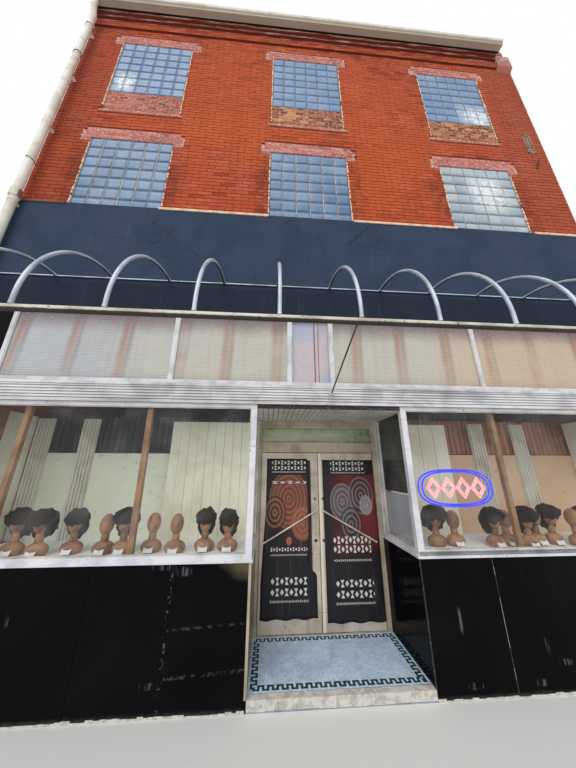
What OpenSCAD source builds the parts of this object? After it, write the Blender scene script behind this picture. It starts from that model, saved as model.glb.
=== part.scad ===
// Three-storey brick row building with a shopfront on its ground storey.
// The frame stands at the middle of the plan, on the level that the walls
// rest on. The street front faces -Y and +X is to the right of it.
// Every level named below is a height above the floor of the entrance.

/* [Building] */
// Width of the street front
front_w = 8170; // [7600:10:9500]
// Depth from the street front to the back wall's face
depth = 12000; // [8000:100:20000]
// Floor of the entrance above the lowest ground that a wall reaches
entry_step = 80; // [50:5:150]
// Thickness of the front wall and the back wall
wall_t = 330; // [230:10:450]
// Thickness of each party wall
party_t = 350; // [230:10:450]
// Width of the left pier's face beyond the party wall's thickness
left_pier_return = 100; // [0:5:200]
// Width of the right pier's face beyond the party wall's thickness
right_pier_return = 0; // [0:5:200]

/* [Storeys] */
// Underside of the beam over the shopfront
beam_level = 3580; // [3450:10:3650]
// Height of the beam over the shopfront
beam_h = 300; // [250:10:420]
// Thickness of the two upper floors
floor_t = 260; // [150:10:300]
// Brickwork between the middle windows' heads and the second floor's underside
second_over_head = 146; // [100:2:200]
// Brickwork between the top windows' heads and the cornice
cornice_over_head = 352; // [230:1:500]
// Rise of the roof from the eaves to the ridge
roof_rise = 1520; // [800:10:2600]
// Thickness of the roof at the eaves
eave_t = 110; // [80:5:200]
// Thickness of the roof at the ridge
roof_t = 180; // [120:5:300]
// Height of the party walls' parapets over the roof
parapet_h = 190; // [120:10:500]

/* [Upper windows] */
// Pitch of the glass blocks, joint included
block_pitch = 203.2; // [190:0.1:210]
// Width of the mortar joint between glass blocks
block_joint = 10; // [6:1:16]
// Depth of a glass block
block_t = 95; // [80:5:100]
// Glass blocks side by side in one window
block_columns = 6; // [4:1:7]
// Glass blocks on top of one another in one window
block_rows = 7; // [5:1:7]
// Face of the glass blocks behind the face of the brickwork
block_inset = 10; // [8:1:60]
// Middle of the left windows
window_left_x = -2860; // [-3000:5:-2700]
// Middle of the middle windows
window_mid_x = -149; // [-300:5:100]
// Middle of the right windows
window_right_x = 2633; // [2500:5:2850]
// Head of the middle storey's windows
middle_head = 6574; // [6540:2:6800]
// Rise from the middle storey's heads to the top storey's heads
storey_rise = 2595; // [2500:5:2900]
// Height of the brick infill below the top storey's blocks
infill_h = 500; // [300:10:600]
// Height of the old stone sill under the infill
old_sill_h = 45; // [30:5:80]
// Brick courses in the rebuilt flat arches over the windows
lintel_courses = 3; // [2:1:3]
// Reach of each flat arch beyond the window's side
lintel_over = 150; // [100:5:200]
// Depth of each flat arch
lintel_t = 105; // [100:5:120]

/* [Cornice and gutters] */
// Reach of the cornice's lowest step in front of the wall
corbel_out = 30; // [20:1:60]
// Reach that each further step of the cornice adds
corbel_step = 34; // [20:1:60]
// Reach of the roof's edge beyond the cornice
eave_out = 31; // [10:1:60]
// Height of one brick course with its joint in the flat arches
course_h = 75; // [65:1:90]
// Depth of the gutters, front to back
gutter_w = 127; // [100:1:160]
// Height of the gutters
gutter_h = 110; // [90:1:130]
// Thickness of the gutters' sheet
gutter_t = 3; // [2:0.5:5]
// Right end of the front gutter, inside the right end of the front
gutter_short = 245; // [150:5:400]
// Reach of the cement patch beside the gutter's right end
patch_out = 70; // [40:5:120]
// Height of the cement patch
patch_h = 430; // [200:10:480]
// Width of the cement patch, from the right end of the front to the cornice's steps
patch_w = 305; // [250:5:400]
// Diameter of the downspout
spout_d = 94; // [75:1:100]
// Wall of the downspout
spout_t = 3; // [2:0.5:5]

/* [Fascia and awning frame] */
// Height that the stucco fascia covers of the middle storey's glass blocks
fascia_over_blocks = 28.4; // [0:0.1:60]
// Thickness of the stucco fascia
fascia_t = 45; // [30:5:60]
// Height of the cement fillet on the fascia's top edge
trim_h = 24; // [15:1:40]
// Reach of the fillet beyond the fascia's face
trim_out = 12; // [5:1:30]
// Middle of the awning frame's wall bar
wall_bar_level = 3990; // [3900:5:4100]
// Diameter of the wall bar
wall_bar_d = 22; // [18:1:40]
// Reach of the awning frame from the brickwork to its front bar
awning_reach = 1028; // [900:1:1040]
// Middle of the awning frame's front bar
front_bar_level = 2925; // [2900:5:2940]
// Diameter of the front bar
front_bar_d = 56; // [40:1:60]
// Diameter of the bows
bow_d = 33; // [25:1:40]
// Number of bows
bow_count = 13; // [9:1:15]
// First bow's distance from the front's left end, clear of the downspout
bow_left_gap = 157; // [150:1:400]
// Last bow's distance from the front's right end
bow_right_gap = 57; // [50:1:400]
// Diameter of the stay below the middle bow
stay_d = 16; // [12:1:20]
// Height of the stay's foot above the moulded band's underside
stay_foot_up = 140; // [60:5:200]

/* [Shopfront] */
// Top of the bulkheads, where the window frames stand
sill_level = 970; // [900:10:1050]
// Height of the moulded band
band_h = 220; // [180:5:230]
// Reach of the moulded band beyond the brickwork's face
band_out = 30; // [20:2:40]
// Reeds on the moulded band
band_reeds = 5; // [3:1:7]
// Front-to-back depth of the metal frames
frame_d = 60; // [50:2:80]
// Height of the window frames' sill rail
sill_rail_h = 65; // [50:1:80]
// Height of the window frames' head rail
head_rail_h = 40; // [30:1:60]
// Width of the window frames' posts at the piers
jamb_w = 40; // [30:1:60]
// Reach of the sill rail's nose beyond the panels
sill_nose = 14; // [8:1:25]
// Height of the sill rail's nose
sill_nose_h = 22; // [15:1:30]
// Thickness of the plate glass
glass_t = 10; // [8:1:12]
// Width of the transom's bars
transom_bar_w = 40; // [30:1:50]
// Width of the small clear vent light beside the middle bar
vent_w = 464; // [350:2:600]
// Pitch of the transom glass's horizontal ribs
rib_pitch = 26; // [20:1:40]
// Depth of the transom glass's ribs
rib_depth = 4; // [2:0.5:6]
// Thickness of the bulkheads behind their panels
bulkhead_t = 120; // [80:5:160]
// Thickness of the structural-glass panels
panel_t = 12; // [8:1:20]
// Joint between two structural-glass panels
panel_joint = 3; // [2:0.5:6]
// Panels on the front of each bulkhead
panel_count = 4; // [3:1:6]
// Thickness of the display decks and their back panels
deck_t = 20; // [15:1:40]
// Top of the display windows' back panels
display_back_level = 1980; // [1500:10:2100]

/* [Entrance] */
// Left side of the entrance recess
recess_left = -811; // [-850:1:-790]
// Right side of the entrance recess
recess_right = 804; // [790:1:850]
// Depth of the entrance recess
recess_d = 830; // [820:10:1000]
// Thickness of the recess ceiling's boards
ceiling_t = 40; // [20:2:40]
// Width of one ceiling board
board_w = 95; // [60:1:150]
// Thickness of the mosaic floor's bed
mosaic_t = 40; // [20:2:45]
// Left side of the door opening
door_left = -772; // [-780:1:-765]
// Width of the door opening for both leaves
door_w = 1524; // [1500:1:1530]
// Height of the door leaves
leaf_h = 1985; // [1900:5:2000]
// Thickness of the door leaves
leaf_t = 44; // [38:1:50]
// Gap beside, between and over the leaves
leaf_gap = 9; // [8:0.5:10]
// Gap below the leaves
floor_gap = 10; // [6:0.5:14]
// Width of the leaves' stiles and top rails
stile_w = 95; // [70:1:110]
// Height of the leaves' bottom rails
kick_rail_h = 200; // [150:5:260]
// Depth of the door frame
door_frame_d = 110; // [80:5:140]
// Height of the header over the leaves
header_h = 125; // [90:5:135]
// Height of the glass over the header
over_glass_h = 205; // [150:5:215]
// Height of the door frame's top rail, up to the recess ceiling
frame_top_h = 96; // [80:2:120]
// Set-back of the leaves' street face behind the door frame's face
leaf_setback = 12; // [8:1:20]
// Width of the stops that the leaves close against
stop_w = 22; // [18:1:30]
// Diameter of the leaves' pivot pins
pivot_d = 16; // [12:1:16]
// Diameter of the push bars across the leaves
bar_d = 20; // [16:1:22]
// Free space between a push bar and its leaf
bar_stand_off = 18; // [15:1:20]
// Level of the push bars at the meeting stiles
bar_high_level = 1277; // [1200:1:1350]
// Level of the push bars at the hinge stiles
bar_low_level = 923; // [880:1:1000]

/* [Hidden] */
$fn = 64;

// Clearance that seats one piece on another without touching it
seat = 0.3;
// Small overlap that makes a cut pass a face cleanly
cut = 1;

// Plan
front_y = -depth / 2;
back_y = depth / 2;
left_x = -front_w / 2;
right_x = front_w / 2;
inner_front_y = front_y + wall_t;
inner_back_y = back_y - wall_t;
shop_left = left_x + party_t + left_pier_return;
shop_right = right_x - party_t - right_pier_return;
shop_w = shop_right - shop_left;
shop_x = (shop_left + shop_right) / 2;

// Levels from the base of the walls
entry_z = entry_step;
sill_z = entry_z + sill_level;
head_z = entry_z + floor_gap + leaf_h + leaf_gap + header_h + over_glass_h + frame_top_h
    + ceiling_t;
band_top_z = head_z + band_h;
beam_z = entry_z + beam_level;
wall_z = beam_z + beam_h;
middle_head_z = entry_z + middle_head;
top_head_z = middle_head_z + storey_rise;
second_z = middle_head_z + second_over_head;
cornice_z = top_head_z + cornice_over_head;
wall_bar_z = entry_z + wall_bar_level;
front_bar_z = entry_z + front_bar_level;

// Upper windows
window_w = block_columns * block_pitch;
window_h = block_rows * block_pitch;
fascia_top_z = middle_head_z - window_h + fascia_over_blocks;
window_xs = [window_left_x, window_mid_x, window_right_x];
infill_inset = 12;
infill_t = 215;
old_sill_over = 40;
old_sill_out = 8;
block_raise = 8;
lintel_h = lintel_courses * course_h;
lintel_ear = 60;

// Cornice, eaves and roof
wall_course_h = block_pitch / 3;
cornice_courses = [1, 3, 1, 1];
cornice_reach = corbel_out + 2 * corbel_step;
eave_reach = cornice_reach + eave_out;
eave_z = cornice_z + course_sum(len(cornice_courses)) * wall_course_h;
roof_edge_z = eave_z + eave_t;
ridge_z = roof_edge_z + roof_rise;
gutter_foot = gutter_w * 0.72;
seam_h = 25;
seam_w = 18;
seam_pitch = 400;
coping_h = 60;
coping_out = 30;

// Awning frame
wall_bar_y = front_y - fascia_t - wall_bar_d / 2;
bow_start_y = wall_bar_y - wall_bar_d / 2;
front_bar_y = front_y - awning_reach;
bow_r = bow_start_y - front_bar_y;
bar_end = 25;
first_bow_x = left_x + bow_left_gap;
last_bow_x = right_x - bow_right_gap;
bow_pitch = (last_bow_x - first_bow_x) / (bow_count - 1);
middle_bow_x = first_bow_x + floor(bow_count / 2) * bow_pitch;

// Shopfront
shop_back_y = front_y + frame_d;
door_y = front_y + recess_d;
glass_y = front_y + (frame_d - glass_t) / 2;
glass_low_z = sill_z + sill_rail_h;
glass_high_z = head_z - head_rail_h;
bay_w = shop_w / 4;
transom_low_z = band_top_z + transom_bar_w;
transom_high_z = beam_z - transom_bar_w;
vent_right = shop_x - transom_bar_w / 2;
vent_left = vent_right - vent_w;

// Entrance
door_right = door_left + door_w;
leaf_w = (door_w - 3 * leaf_gap) / 2;
leaf_low_z = entry_z + floor_gap;
leaf_top_z = leaf_low_z + leaf_h;
header_z = leaf_top_z + leaf_gap;
over_glass_z = header_z + header_h;
leaf_y = door_y + leaf_setback;
pivot_inset = pivot_d / 2;
ceiling_z = head_z - ceiling_t;
bar_inset = stile_w / 2;

// Sum of the cornice's course counts below step number n
function course_sum(n) = n == 0 ? 0 : cornice_courses[n - 1] + course_sum(n - 1);

// Box given by its two corners
module block(low, high) {
    translate(low) cube(high - low);
}

// Profile drawn in Y and Z, run along X from x0 to x1
module along_x(x0, x1) {
    translate([x0, 0, 0]) rotate([90, 0, 90]) linear_extrude(x1 - x0) children();
}

// Box frame in the plane of the front, open inside its four bars
module ring_x(x0, x1, y0, y1, z0, z1, side, low, high) {
    difference() {
        block([x0, y0, z0], [x1, y1, z1]);
        block([x0 + side, y0 - cut, z0 + low], [x1 - side, y1 + cut, z1 - high]);
    }
}

// Outline of a party wall: it stops behind the front and back walls and its
// parapet runs on over both of them
module party_profile() {
    end_z = roof_edge_z + parapet_h;
    polygon([[inner_front_y, 0], [inner_back_y, 0], [inner_back_y, eave_z], [back_y, eave_z],
        [back_y, end_z], [0, ridge_z + parapet_h], [front_y, end_z], [front_y, eave_z],
        [inner_front_y, eave_z]]);
}

// Stone coping that caps a parapet on both slopes
module coping_profile() {
    end_z = roof_edge_z + parapet_h;
    top_z = ridge_z + parapet_h;
    polygon([[front_y, end_z], [0, top_z], [back_y, end_z], [back_y, end_z + coping_h],
        [0, top_z + coping_h], [front_y, end_z + coping_h]]);
}

module left_party_wall() {
    color("indianred") along_x(left_x, left_x + party_t) party_profile();
    color("lightgray") along_x(left_x, left_x + party_t + coping_out) coping_profile();
}

module right_party_wall() {
    color("indianred") along_x(right_x - party_t, right_x) party_profile();
    color("lightgray") along_x(right_x - party_t - coping_out, right_x) coping_profile();
}

// Window openings of one wall, cut through between y0 and y1
module window_cuts(y0, y1, head, height) {
    for (x = window_xs)
        block([x - window_w / 2, y0 - cut, head - height],
            [x + window_w / 2, y1 + cut, head]);
}

// Rebuilt flat arches over one row of windows: the top course is the shortest,
// and an ear at each end reaches one course below the window's head
module lintel_blocks(head) {
    for (x = window_xs) {
        half = window_w / 2 + lintel_over;
        block([x - half, front_y, head],
            [x + half, front_y + lintel_t, head + lintel_h - course_h]);
        block([x - half + lintel_ear, front_y, head + lintel_h - course_h],
            [x + half - lintel_ear, front_y + lintel_t, head + lintel_h]);
        for (ear_x = [x - half, x + window_w / 2])
            block([ear_x, front_y, head - course_h],
                [ear_x + lintel_over, front_y + lintel_t, head]);
    }
}

// Old stone sill under the infill of one top window
module old_sill(x, out) {
    half = window_w / 2 + old_sill_over;
    low = top_head_z - window_h - infill_h - old_sill_h;
    block([x - half, front_y - out, low], [x + half, front_y + lintel_t, low + old_sill_h]);
}

module front_wall() {
    color("firebrick") difference() {
        block([left_x, front_y, wall_z], [right_x, inner_front_y, cornice_z]);
        window_cuts(front_y, inner_front_y, middle_head_z, window_h);
        window_cuts(front_y, inner_front_y, top_head_z, window_h + infill_h);
        lintel_blocks(middle_head_z);
        lintel_blocks(top_head_z);
        for (x = window_xs) old_sill(x, cut);
    }
}

module back_wall() {
    color("firebrick") difference() {
        block([left_x, inner_back_y, 0], [right_x, back_y, eave_z]);
        window_cuts(inner_back_y, back_y, middle_head_z, window_h);
        window_cuts(inner_back_y, back_y, top_head_z, window_h);
    }
}

module shopfront_piers() {
    color("firebrick") {
        block([left_x, front_y, 0], [shop_left, inner_front_y, beam_z]);
        block([shop_right, front_y, 0], [right_x, inner_front_y, beam_z]);
    }
}

module shopfront_beam() {
    color("dimgray") block([left_x, front_y, beam_z], [right_x, inner_front_y, wall_z]);
}

module front_lintels() {
    color("rosybrown") {
        lintel_blocks(middle_head_z);
        lintel_blocks(top_head_z);
    }
}

module front_window_infill() {
    infill_y = front_y + infill_inset;
    color("tan") for (x = window_xs) {
        old_sill(x, old_sill_out);
        block([x - window_w / 2, infill_y, top_head_z - window_h - infill_h],
            [x + window_w / 2, infill_y + infill_t, top_head_z - window_h]);
    }
}

// Wall top with courses that step out towards the street
module cornice_profile() {
    steps = [for (n = [0:2]) corbel_out + n * corbel_step];
    levels = [for (n = [1:3]) cornice_z + course_sum(n) * wall_course_h];
    polygon([[inner_front_y, cornice_z], [front_y, cornice_z], [front_y, levels[0]],
        [front_y - steps[0], levels[0]], [front_y - steps[0], levels[1]],
        [front_y - steps[1], levels[1]], [front_y - steps[1], levels[2]],
        [front_y - steps[2], levels[2]], [front_y - steps[2], eave_z],
        [inner_front_y, eave_z]]);
}

// Cornice: its steps end under the gutter's right end, and the wall runs on plain beside them
module front_cornice() {
    color("firebrick") {
        along_x(left_x, right_x - patch_w) cornice_profile();
        block([right_x - patch_w, front_y, cornice_z], [right_x, inner_front_y, eave_z]);
    }
}

// Cement patch on the plain end of the wall, chamfered along its foot
module cornice_end_patch() {
    color("gray") along_x(right_x - patch_w, right_x)
        polygon([[front_y, eave_z], [front_y - patch_out, eave_z],
            [front_y - patch_out, eave_z - patch_h + patch_out], [front_y, eave_z - patch_h]]);
}

// Gutter section with an upright back, a level bottom and an ogee front
module gutter_profile(inset) {
    lip = 12;
    polygon([[inset, inset], [gutter_foot - inset, inset],
        [gutter_foot + 6 - inset, gutter_h * 0.35], [gutter_w - 8 - inset, gutter_h * 0.62],
        [gutter_w - inset, gutter_h - lip], [gutter_w - inset, gutter_h + inset],
        [inset, gutter_h + inset]]);
}

// Gutter from x0 to x1, hanging towards -Y with its back at y = 0 and its bottom at z = 0
module gutter(x0, x1) {
    mirror([0, 1, 0]) difference() {
        along_x(x0, x1) gutter_profile(0);
        along_x(x0 + gutter_t, x1 - gutter_t) gutter_profile(gutter_t);
    }
}

module front_gutter() {
    color("lightgray") translate([0, front_y - eave_reach, eave_z])
        gutter(left_x, right_x - gutter_short);
}

module back_gutter() {
    color("lightgray") translate([0, back_y + eave_reach, eave_z])
        mirror([0, 1, 0]) gutter(left_x, right_x);
}

// Round pipe between two points of the plane x = 0
module pipe_yz(from, to, d) {
    run = to - from;
    translate([0, from[0], from[1]])
        rotate([atan2(-run[0], run[1]), 0, 0]) cylinder(d = d, h = norm(run));
}

// Downspout: it drops out of the gutter, slants back to the wall, runs down in
// front of the fascia and ends in a shoe turned to the street
module downspout() {
    strap_t = 4;
    strap_h = 30;
    strap_w = 40;
    collar_t = 14;
    collar_h = 120;
    outlet_h = 145;
    offset_h = 220;
    shoe_z = 70;
    shoe_h = 90;
    pipe_y = front_y - fascia_t - trim_out - spout_d / 2 - collar_t - cut;
    outlet_y = front_y - eave_reach - spout_d / 2 - strap_t - cut;
    turn_z = eave_z - outlet_h - offset_h;
    route = [[outlet_y, eave_z - seat], [outlet_y, eave_z - outlet_h], [pipe_y, turn_z],
        [pipe_y, shoe_z + shoe_h], [pipe_y - spout_d, shoe_z]];
    strap_zs = [sill_z, head_z, fascia_top_z - trim_h - 4 * strap_h, middle_head_z,
        (middle_head_z + top_head_z) / 2, top_head_z];
    color("gainsboro") translate([left_x + spout_d / 2 + collar_t, 0, 0]) {
        difference() {
            union() {
                for (n = [0:len(route) - 2]) pipe_yz(route[n], route[n + 1], spout_d);
                for (n = [1:len(route) - 2])
                    translate([0, route[n][0], route[n][1]]) sphere(d = spout_d + 2 * strap_t);
                translate([0, pipe_y, fascia_top_z - collar_h / 2])
                    cylinder(d = spout_d + 2 * collar_t, h = collar_h);
            }
            pipe_yz(route[3], route[4] + [-cut, -cut], spout_d - 2 * spout_t);
        }
        for (z = strap_zs) {
            wall_y = z < fascia_top_z && z > beam_z ? front_y - fascia_t : front_y;
            translate([0, pipe_y, z]) cylinder(d = spout_d + 2 * strap_t, h = strap_h);
            block([-strap_w / 2, pipe_y, z], [strap_w / 2, wall_y, z + strap_h]);
        }
    }
}

// One roof slope with its bearing on the wall top, drawn for the front
module roof_profile() {
    polygon([[front_y - eave_reach, eave_z], [inner_front_y, eave_z], [0, ridge_z - roof_t],
        [0, ridge_z], [front_y - eave_reach, roof_edge_z]]);
}

module seam_profile() {
    polygon([[front_y - eave_reach, roof_edge_z], [0, ridge_z], [0, ridge_z + seam_h],
        [front_y - eave_reach, roof_edge_z + seam_h]]);
}

// Slope between the two parapets, with standing seams
module roof_slope() {
    roof_left = left_x + party_t;
    roof_right = right_x - party_t;
    count = floor((roof_right - roof_left) / seam_pitch);
    first = (roof_left + roof_right - count * seam_pitch) / 2;
    color("slategray") {
        along_x(roof_left, roof_right) roof_profile();
        for (n = [0:count])
            along_x(first + n * seam_pitch - seam_w / 2, first + n * seam_pitch + seam_w / 2)
                seam_profile();
    }
}

// Board along the eaves that carries the gutter as far as x1
module eaves_board(x1) {
    color("slategray") block([left_x, front_y - eave_reach, eave_z],
        [x1, front_y - cornice_reach, roof_edge_z]);
}

module front_roof_slope() {
    roof_slope();
    eaves_board(right_x - gutter_short);
}

module back_roof_slope() {
    mirror([0, 1, 0]) {
        roof_slope();
        eaves_board(right_x);
    }
}

// Slab under the whole shop, let down below the mosaic of the entrance
module ground_floor() {
    color("darkgray") difference() {
        block([shop_left, front_y + panel_t, 0], [shop_right, inner_front_y, entry_z]);
        recess_floor_body();
    }
    color("darkgray") difference() {
        block([left_x + party_t, inner_front_y, 0], [right_x - party_t, inner_back_y, entry_z]);
        recess_floor_body();
    }
}

module upper_floor(z) {
    color("burlywood")
        block([left_x + party_t, inner_front_y, z], [right_x - party_t, inner_back_y, z + floor_t]);
}

module first_floor() {
    upper_floor(wall_z);
}

module second_floor() {
    upper_floor(second_z);
}

// One window of glass blocks: a mortar grid with every block's face raised on both sides
module glass_block_panel(x, y0, head) {
    face = block_pitch - block_joint;
    color("lightsteelblue") {
        block([x - window_w / 2, y0 + block_raise, head - window_h],
            [x + window_w / 2, y0 + block_t - block_raise, head]);
        for (column = [0:block_columns - 1], row = [0:block_rows - 1])
            translate([x - window_w / 2 + column * block_pitch + block_joint / 2, y0,
                head - window_h + row * block_pitch + block_joint / 2])
                cube([face, block_t, face]);
    }
}

module middle_glass_blocks() {
    for (x = window_xs) glass_block_panel(x, front_y + block_inset, middle_head_z);
}

module top_glass_blocks() {
    for (x = window_xs) glass_block_panel(x, front_y + block_inset, top_head_z);
}

module back_glass_blocks() {
    for (x = window_xs) {
        glass_block_panel(x, back_y - block_inset - block_t, middle_head_z);
        glass_block_panel(x, back_y - block_inset - block_t, top_head_z);
    }
}

module fascia_panel() {
    color("darkslategray")
        block([left_x, front_y - fascia_t, beam_z], [right_x, front_y, fascia_top_z]);
}

// Cement fillet on the fascia's top edge, left out in front of the windows
module fascia_trim() {
    half = window_w / 2;
    starts = concat([left_x], [for (x = window_xs) x + half]);
    ends = concat([for (x = window_xs) x - half], [right_x]);
    color("antiquewhite") for (n = [0:len(window_xs)]) along_x(starts[n], ends[n])
        polygon([[front_y, fascia_top_z], [front_y, fascia_top_z + trim_h],
            [front_y - fascia_t - trim_out, fascia_top_z + trim_h * 0.4],
            [front_y - fascia_t - trim_out, fascia_top_z - trim_h],
            [front_y - fascia_t, fascia_top_z - trim_h], [front_y - fascia_t, fascia_top_z]]);
}

// Horizontal tube of the awning frame at the point y, z
module awning_tube(y, z, d) {
    translate([first_bow_x - bar_end, y, z]) rotate([0, 90, 0])
        cylinder(d = d, h = last_bow_x - first_bow_x + 2 * bar_end);
}

module awning_wall_bar() {
    color("silver") awning_tube(wall_bar_y, wall_bar_z, wall_bar_d);
}

// Front bar with the thin stay that holds it off the moulded band
module awning_front_bar() {
    foot_z = head_z + stay_foot_up;
    foot_y = front_y - band_out - seat;
    foot_t = 6;
    foot_w = 50;
    color("silver") {
        awning_tube(front_bar_y, front_bar_z, front_bar_d);
        translate([middle_bow_x - bow_d, 0, 0]) {
            pipe_yz([front_bar_y, front_bar_z], [foot_y - foot_t / 2, foot_z], stay_d);
            block([-foot_w / 2, foot_y - foot_t, foot_z - foot_w / 2],
                [foot_w / 2, foot_y, foot_z + foot_w / 2]);
        }
    }
}

// Quarter-round bow that leaves the wall bar level and drops onto the front bar
module awning_bow() {
    foot_z = front_bar_z + front_bar_d / 2 + seat;
    turn_z = wall_bar_z - bow_r;
    translate([0, bow_start_y - seat, turn_z]) rotate([90, 0, -90])
        rotate_extrude(angle = 90) translate([bow_r, 0]) circle(d = bow_d);
    translate([0, front_bar_y - seat, foot_z]) cylinder(d = bow_d, h = turn_z - foot_z);
}

module awning_bows() {
    color("silver") for (n = [0:bow_count - 1])
        translate([first_bow_x + n * bow_pitch, 0, 0]) awning_bow();
}

// Transom frame: two long rails, end posts, three bars between the bays and a vent light's post
module transom_frame() {
    bars = [for (n = [1:3]) shop_left + n * bay_w - transom_bar_w / 2];
    color("whitesmoke") {
        ring_x(shop_left, shop_right, front_y, shop_back_y, band_top_z, beam_z,
            transom_bar_w, transom_bar_w, transom_bar_w);
        for (x = concat(bars, [vent_left - transom_bar_w]))
            block([x, front_y, transom_low_z], [x + transom_bar_w, shop_back_y, transom_high_z]);
    }
}

// Sheet with horizontal ribs rolled into its street face
module ribbed_profile() {
    ribs = floor((transom_high_z - transom_low_z) / rib_pitch);
    pitch = (transom_high_z - transom_low_z) / ribs;
    polygon(concat([[glass_y + glass_t, transom_low_z], [glass_y + glass_t, transom_high_z]],
        [for (n = [0:ribs - 1], half = [0, 1])
            [glass_y - half * rib_depth, transom_high_z - (n + half / 2) * pitch]],
        [[glass_y, transom_low_z]]));
}

module transom_ribbed_glass() {
    half_bar = transom_bar_w / 2;
    spans = [[shop_left + transom_bar_w, shop_left + bay_w - half_bar],
        [shop_left + bay_w + half_bar, vent_left - transom_bar_w],
        [shop_x + half_bar, shop_x + bay_w - half_bar],
        [shop_x + bay_w + half_bar, shop_right - transom_bar_w]];
    color("antiquewhite") for (span = spans) along_x(span[0], span[1]) ribbed_profile();
}

// Moulded band with rounded reeds between two flat fillets
module shopfront_band() {
    fillet = 30;
    reed = (band_h - 2 * fillet) / band_reeds;
    color("whitesmoke") {
        along_x(shop_left, shop_right) union() {
            translate([front_y - band_out + reed / 3, head_z])
                square([band_out - reed / 3 + frame_d, band_h]);
            for (z = [head_z, band_top_z - fillet])
                translate([front_y - band_out, z]) square([band_out, fillet]);
        }
        for (n = [0:band_reeds - 1])
            translate([shop_left, front_y - band_out + reed / 3, head_z + fillet + (n + 0.5) * reed])
                rotate([0, 90, 0]) cylinder(d = reed * 0.62, h = shop_w);
    }
}

// Window frame with its front light between x0 and the corner, and a return light on the recess
// side. It is drawn for the left window, whose corner lies at the right.
module window_frame(x0, corner) {
    side_x = corner - frame_d;
    color("gainsboro") {
        ring_x(x0, corner, front_y, shop_back_y, sill_z, head_z, jamb_w, sill_rail_h, head_rail_h);
        block([side_x, front_y, sill_z], [corner, shop_back_y, head_z]);
        difference() {
            block([side_x, shop_back_y, sill_z], [corner, door_y, head_z]);
            block([side_x - cut, shop_back_y, glass_low_z],
                [corner + cut, door_y - frame_d, glass_high_z]);
        }
        block([x0, front_y - sill_nose, sill_z], [corner + sill_nose, front_y, sill_z + sill_nose_h]);
        block([corner, front_y, sill_z], [corner + sill_nose, door_y, sill_z + sill_nose_h]);
    }
}

module left_window_frame() {
    window_frame(shop_left, recess_left);
}

module right_window_frame() {
    mirror([1, 0, 0]) window_frame(-shop_right, -recess_right);
}

// Panes of one shop window: the front light and the return light
module window_panes(x0, corner) {
    pane_x = corner - (frame_d + glass_t) / 2;
    block([x0 + jamb_w, glass_y, glass_low_z], [corner - frame_d, glass_y + glass_t, glass_high_z]);
    block([pane_x, shop_back_y, glass_low_z], [pane_x + glass_t, door_y - frame_d, glass_high_z]);
}

module shop_window_glass() {
    color("lightcyan") {
        window_panes(shop_left, recess_left);
        mirror([1, 0, 0]) window_panes(-shop_right, -recess_right);
        block([vent_left, glass_y, transom_low_z], [vent_right, glass_y + glass_t, transom_high_z]);
        block([door_left, door_y + (door_frame_d - glass_t) / 2, over_glass_z],
            [door_right, door_y + (door_frame_d + glass_t) / 2, over_glass_z + over_glass_h]);
    }
}

// Low wall under one shop window, turned back along the recess
module bulkhead(x0, corner) {
    side_x = corner - panel_t;
    color("dimgray") {
        block([x0, front_y + panel_t, entry_z], [side_x, front_y + panel_t + bulkhead_t, sill_z]);
        block([side_x - bulkhead_t, front_y + panel_t, entry_z], [side_x, door_y, sill_z]);
    }
}

module left_bulkhead() {
    bulkhead(shop_left, recess_left);
}

module right_bulkhead() {
    mirror([1, 0, 0]) bulkhead(-shop_right, -recess_right);
}

// Structural-glass panels of one bulkhead: a row on the front and two on the recess side
module panels(x0, corner) {
    pitch = (corner - x0) / panel_count;
    side_pitch = (recess_d - panel_t) / 2;
    for (n = [0:panel_count - 1])
        block([x0 + n * pitch + panel_joint / 2, front_y, panel_joint],
            [x0 + (n + 1) * pitch - (n == panel_count - 1 ? 0 : panel_joint / 2),
                front_y + panel_t, sill_z]);
    for (n = [0, 1])
        block([corner - panel_t, front_y + panel_t + n * side_pitch + panel_joint, entry_z],
            [corner, front_y + panel_t + (n + 1) * side_pitch, sill_z]);
}

module bulkhead_panels() {
    color("black") {
        panels(shop_left, recess_left);
        mirror([1, 0, 0]) panels(-shop_right, -recess_right);
    }
}

// Display deck behind one shop window with the low panel at its back
module display_case(x0, corner) {
    color("wheat") {
        block([x0, shop_back_y, sill_z], [corner - frame_d, door_y, sill_z + deck_t]);
        block([x0, door_y, entry_z],
            [corner - frame_d, door_y + deck_t, entry_z + display_back_level]);
    }
}

module display_cases() {
    display_case(shop_left, recess_left);
    mirror([1, 0, 0]) display_case(-shop_right, -recess_right);
}

// Boarded ceiling of the recess, its boards running front to back
module recess_ceiling() {
    count = floor((recess_right - recess_left) / board_w);
    pitch = (recess_right - recess_left) / count;
    groove = 5;
    color("gray") difference() {
        block([recess_left, front_y, ceiling_z], [recess_right, door_y, head_z]);
        for (n = [1:count - 1])
            translate([recess_left + n * pitch, front_y - cut, ceiling_z]) rotate([0, 45, 0])
                translate([-groove / 2, 0, -groove / 2]) cube([groove, recess_d + 2 * cut, groove]);
    }
}

// Mosaic bed of the entrance, turned down over the slab's edge at the street
module recess_floor_body() {
    block([recess_left, front_y, entry_z - mosaic_t],
        [recess_right, door_y + door_frame_d, entry_z]);
    block([recess_left, front_y, 0], [recess_right, front_y + 2 * panel_t, entry_z]);
}

module recess_floor() {
    color("lightblue") recess_floor_body();
}

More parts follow.
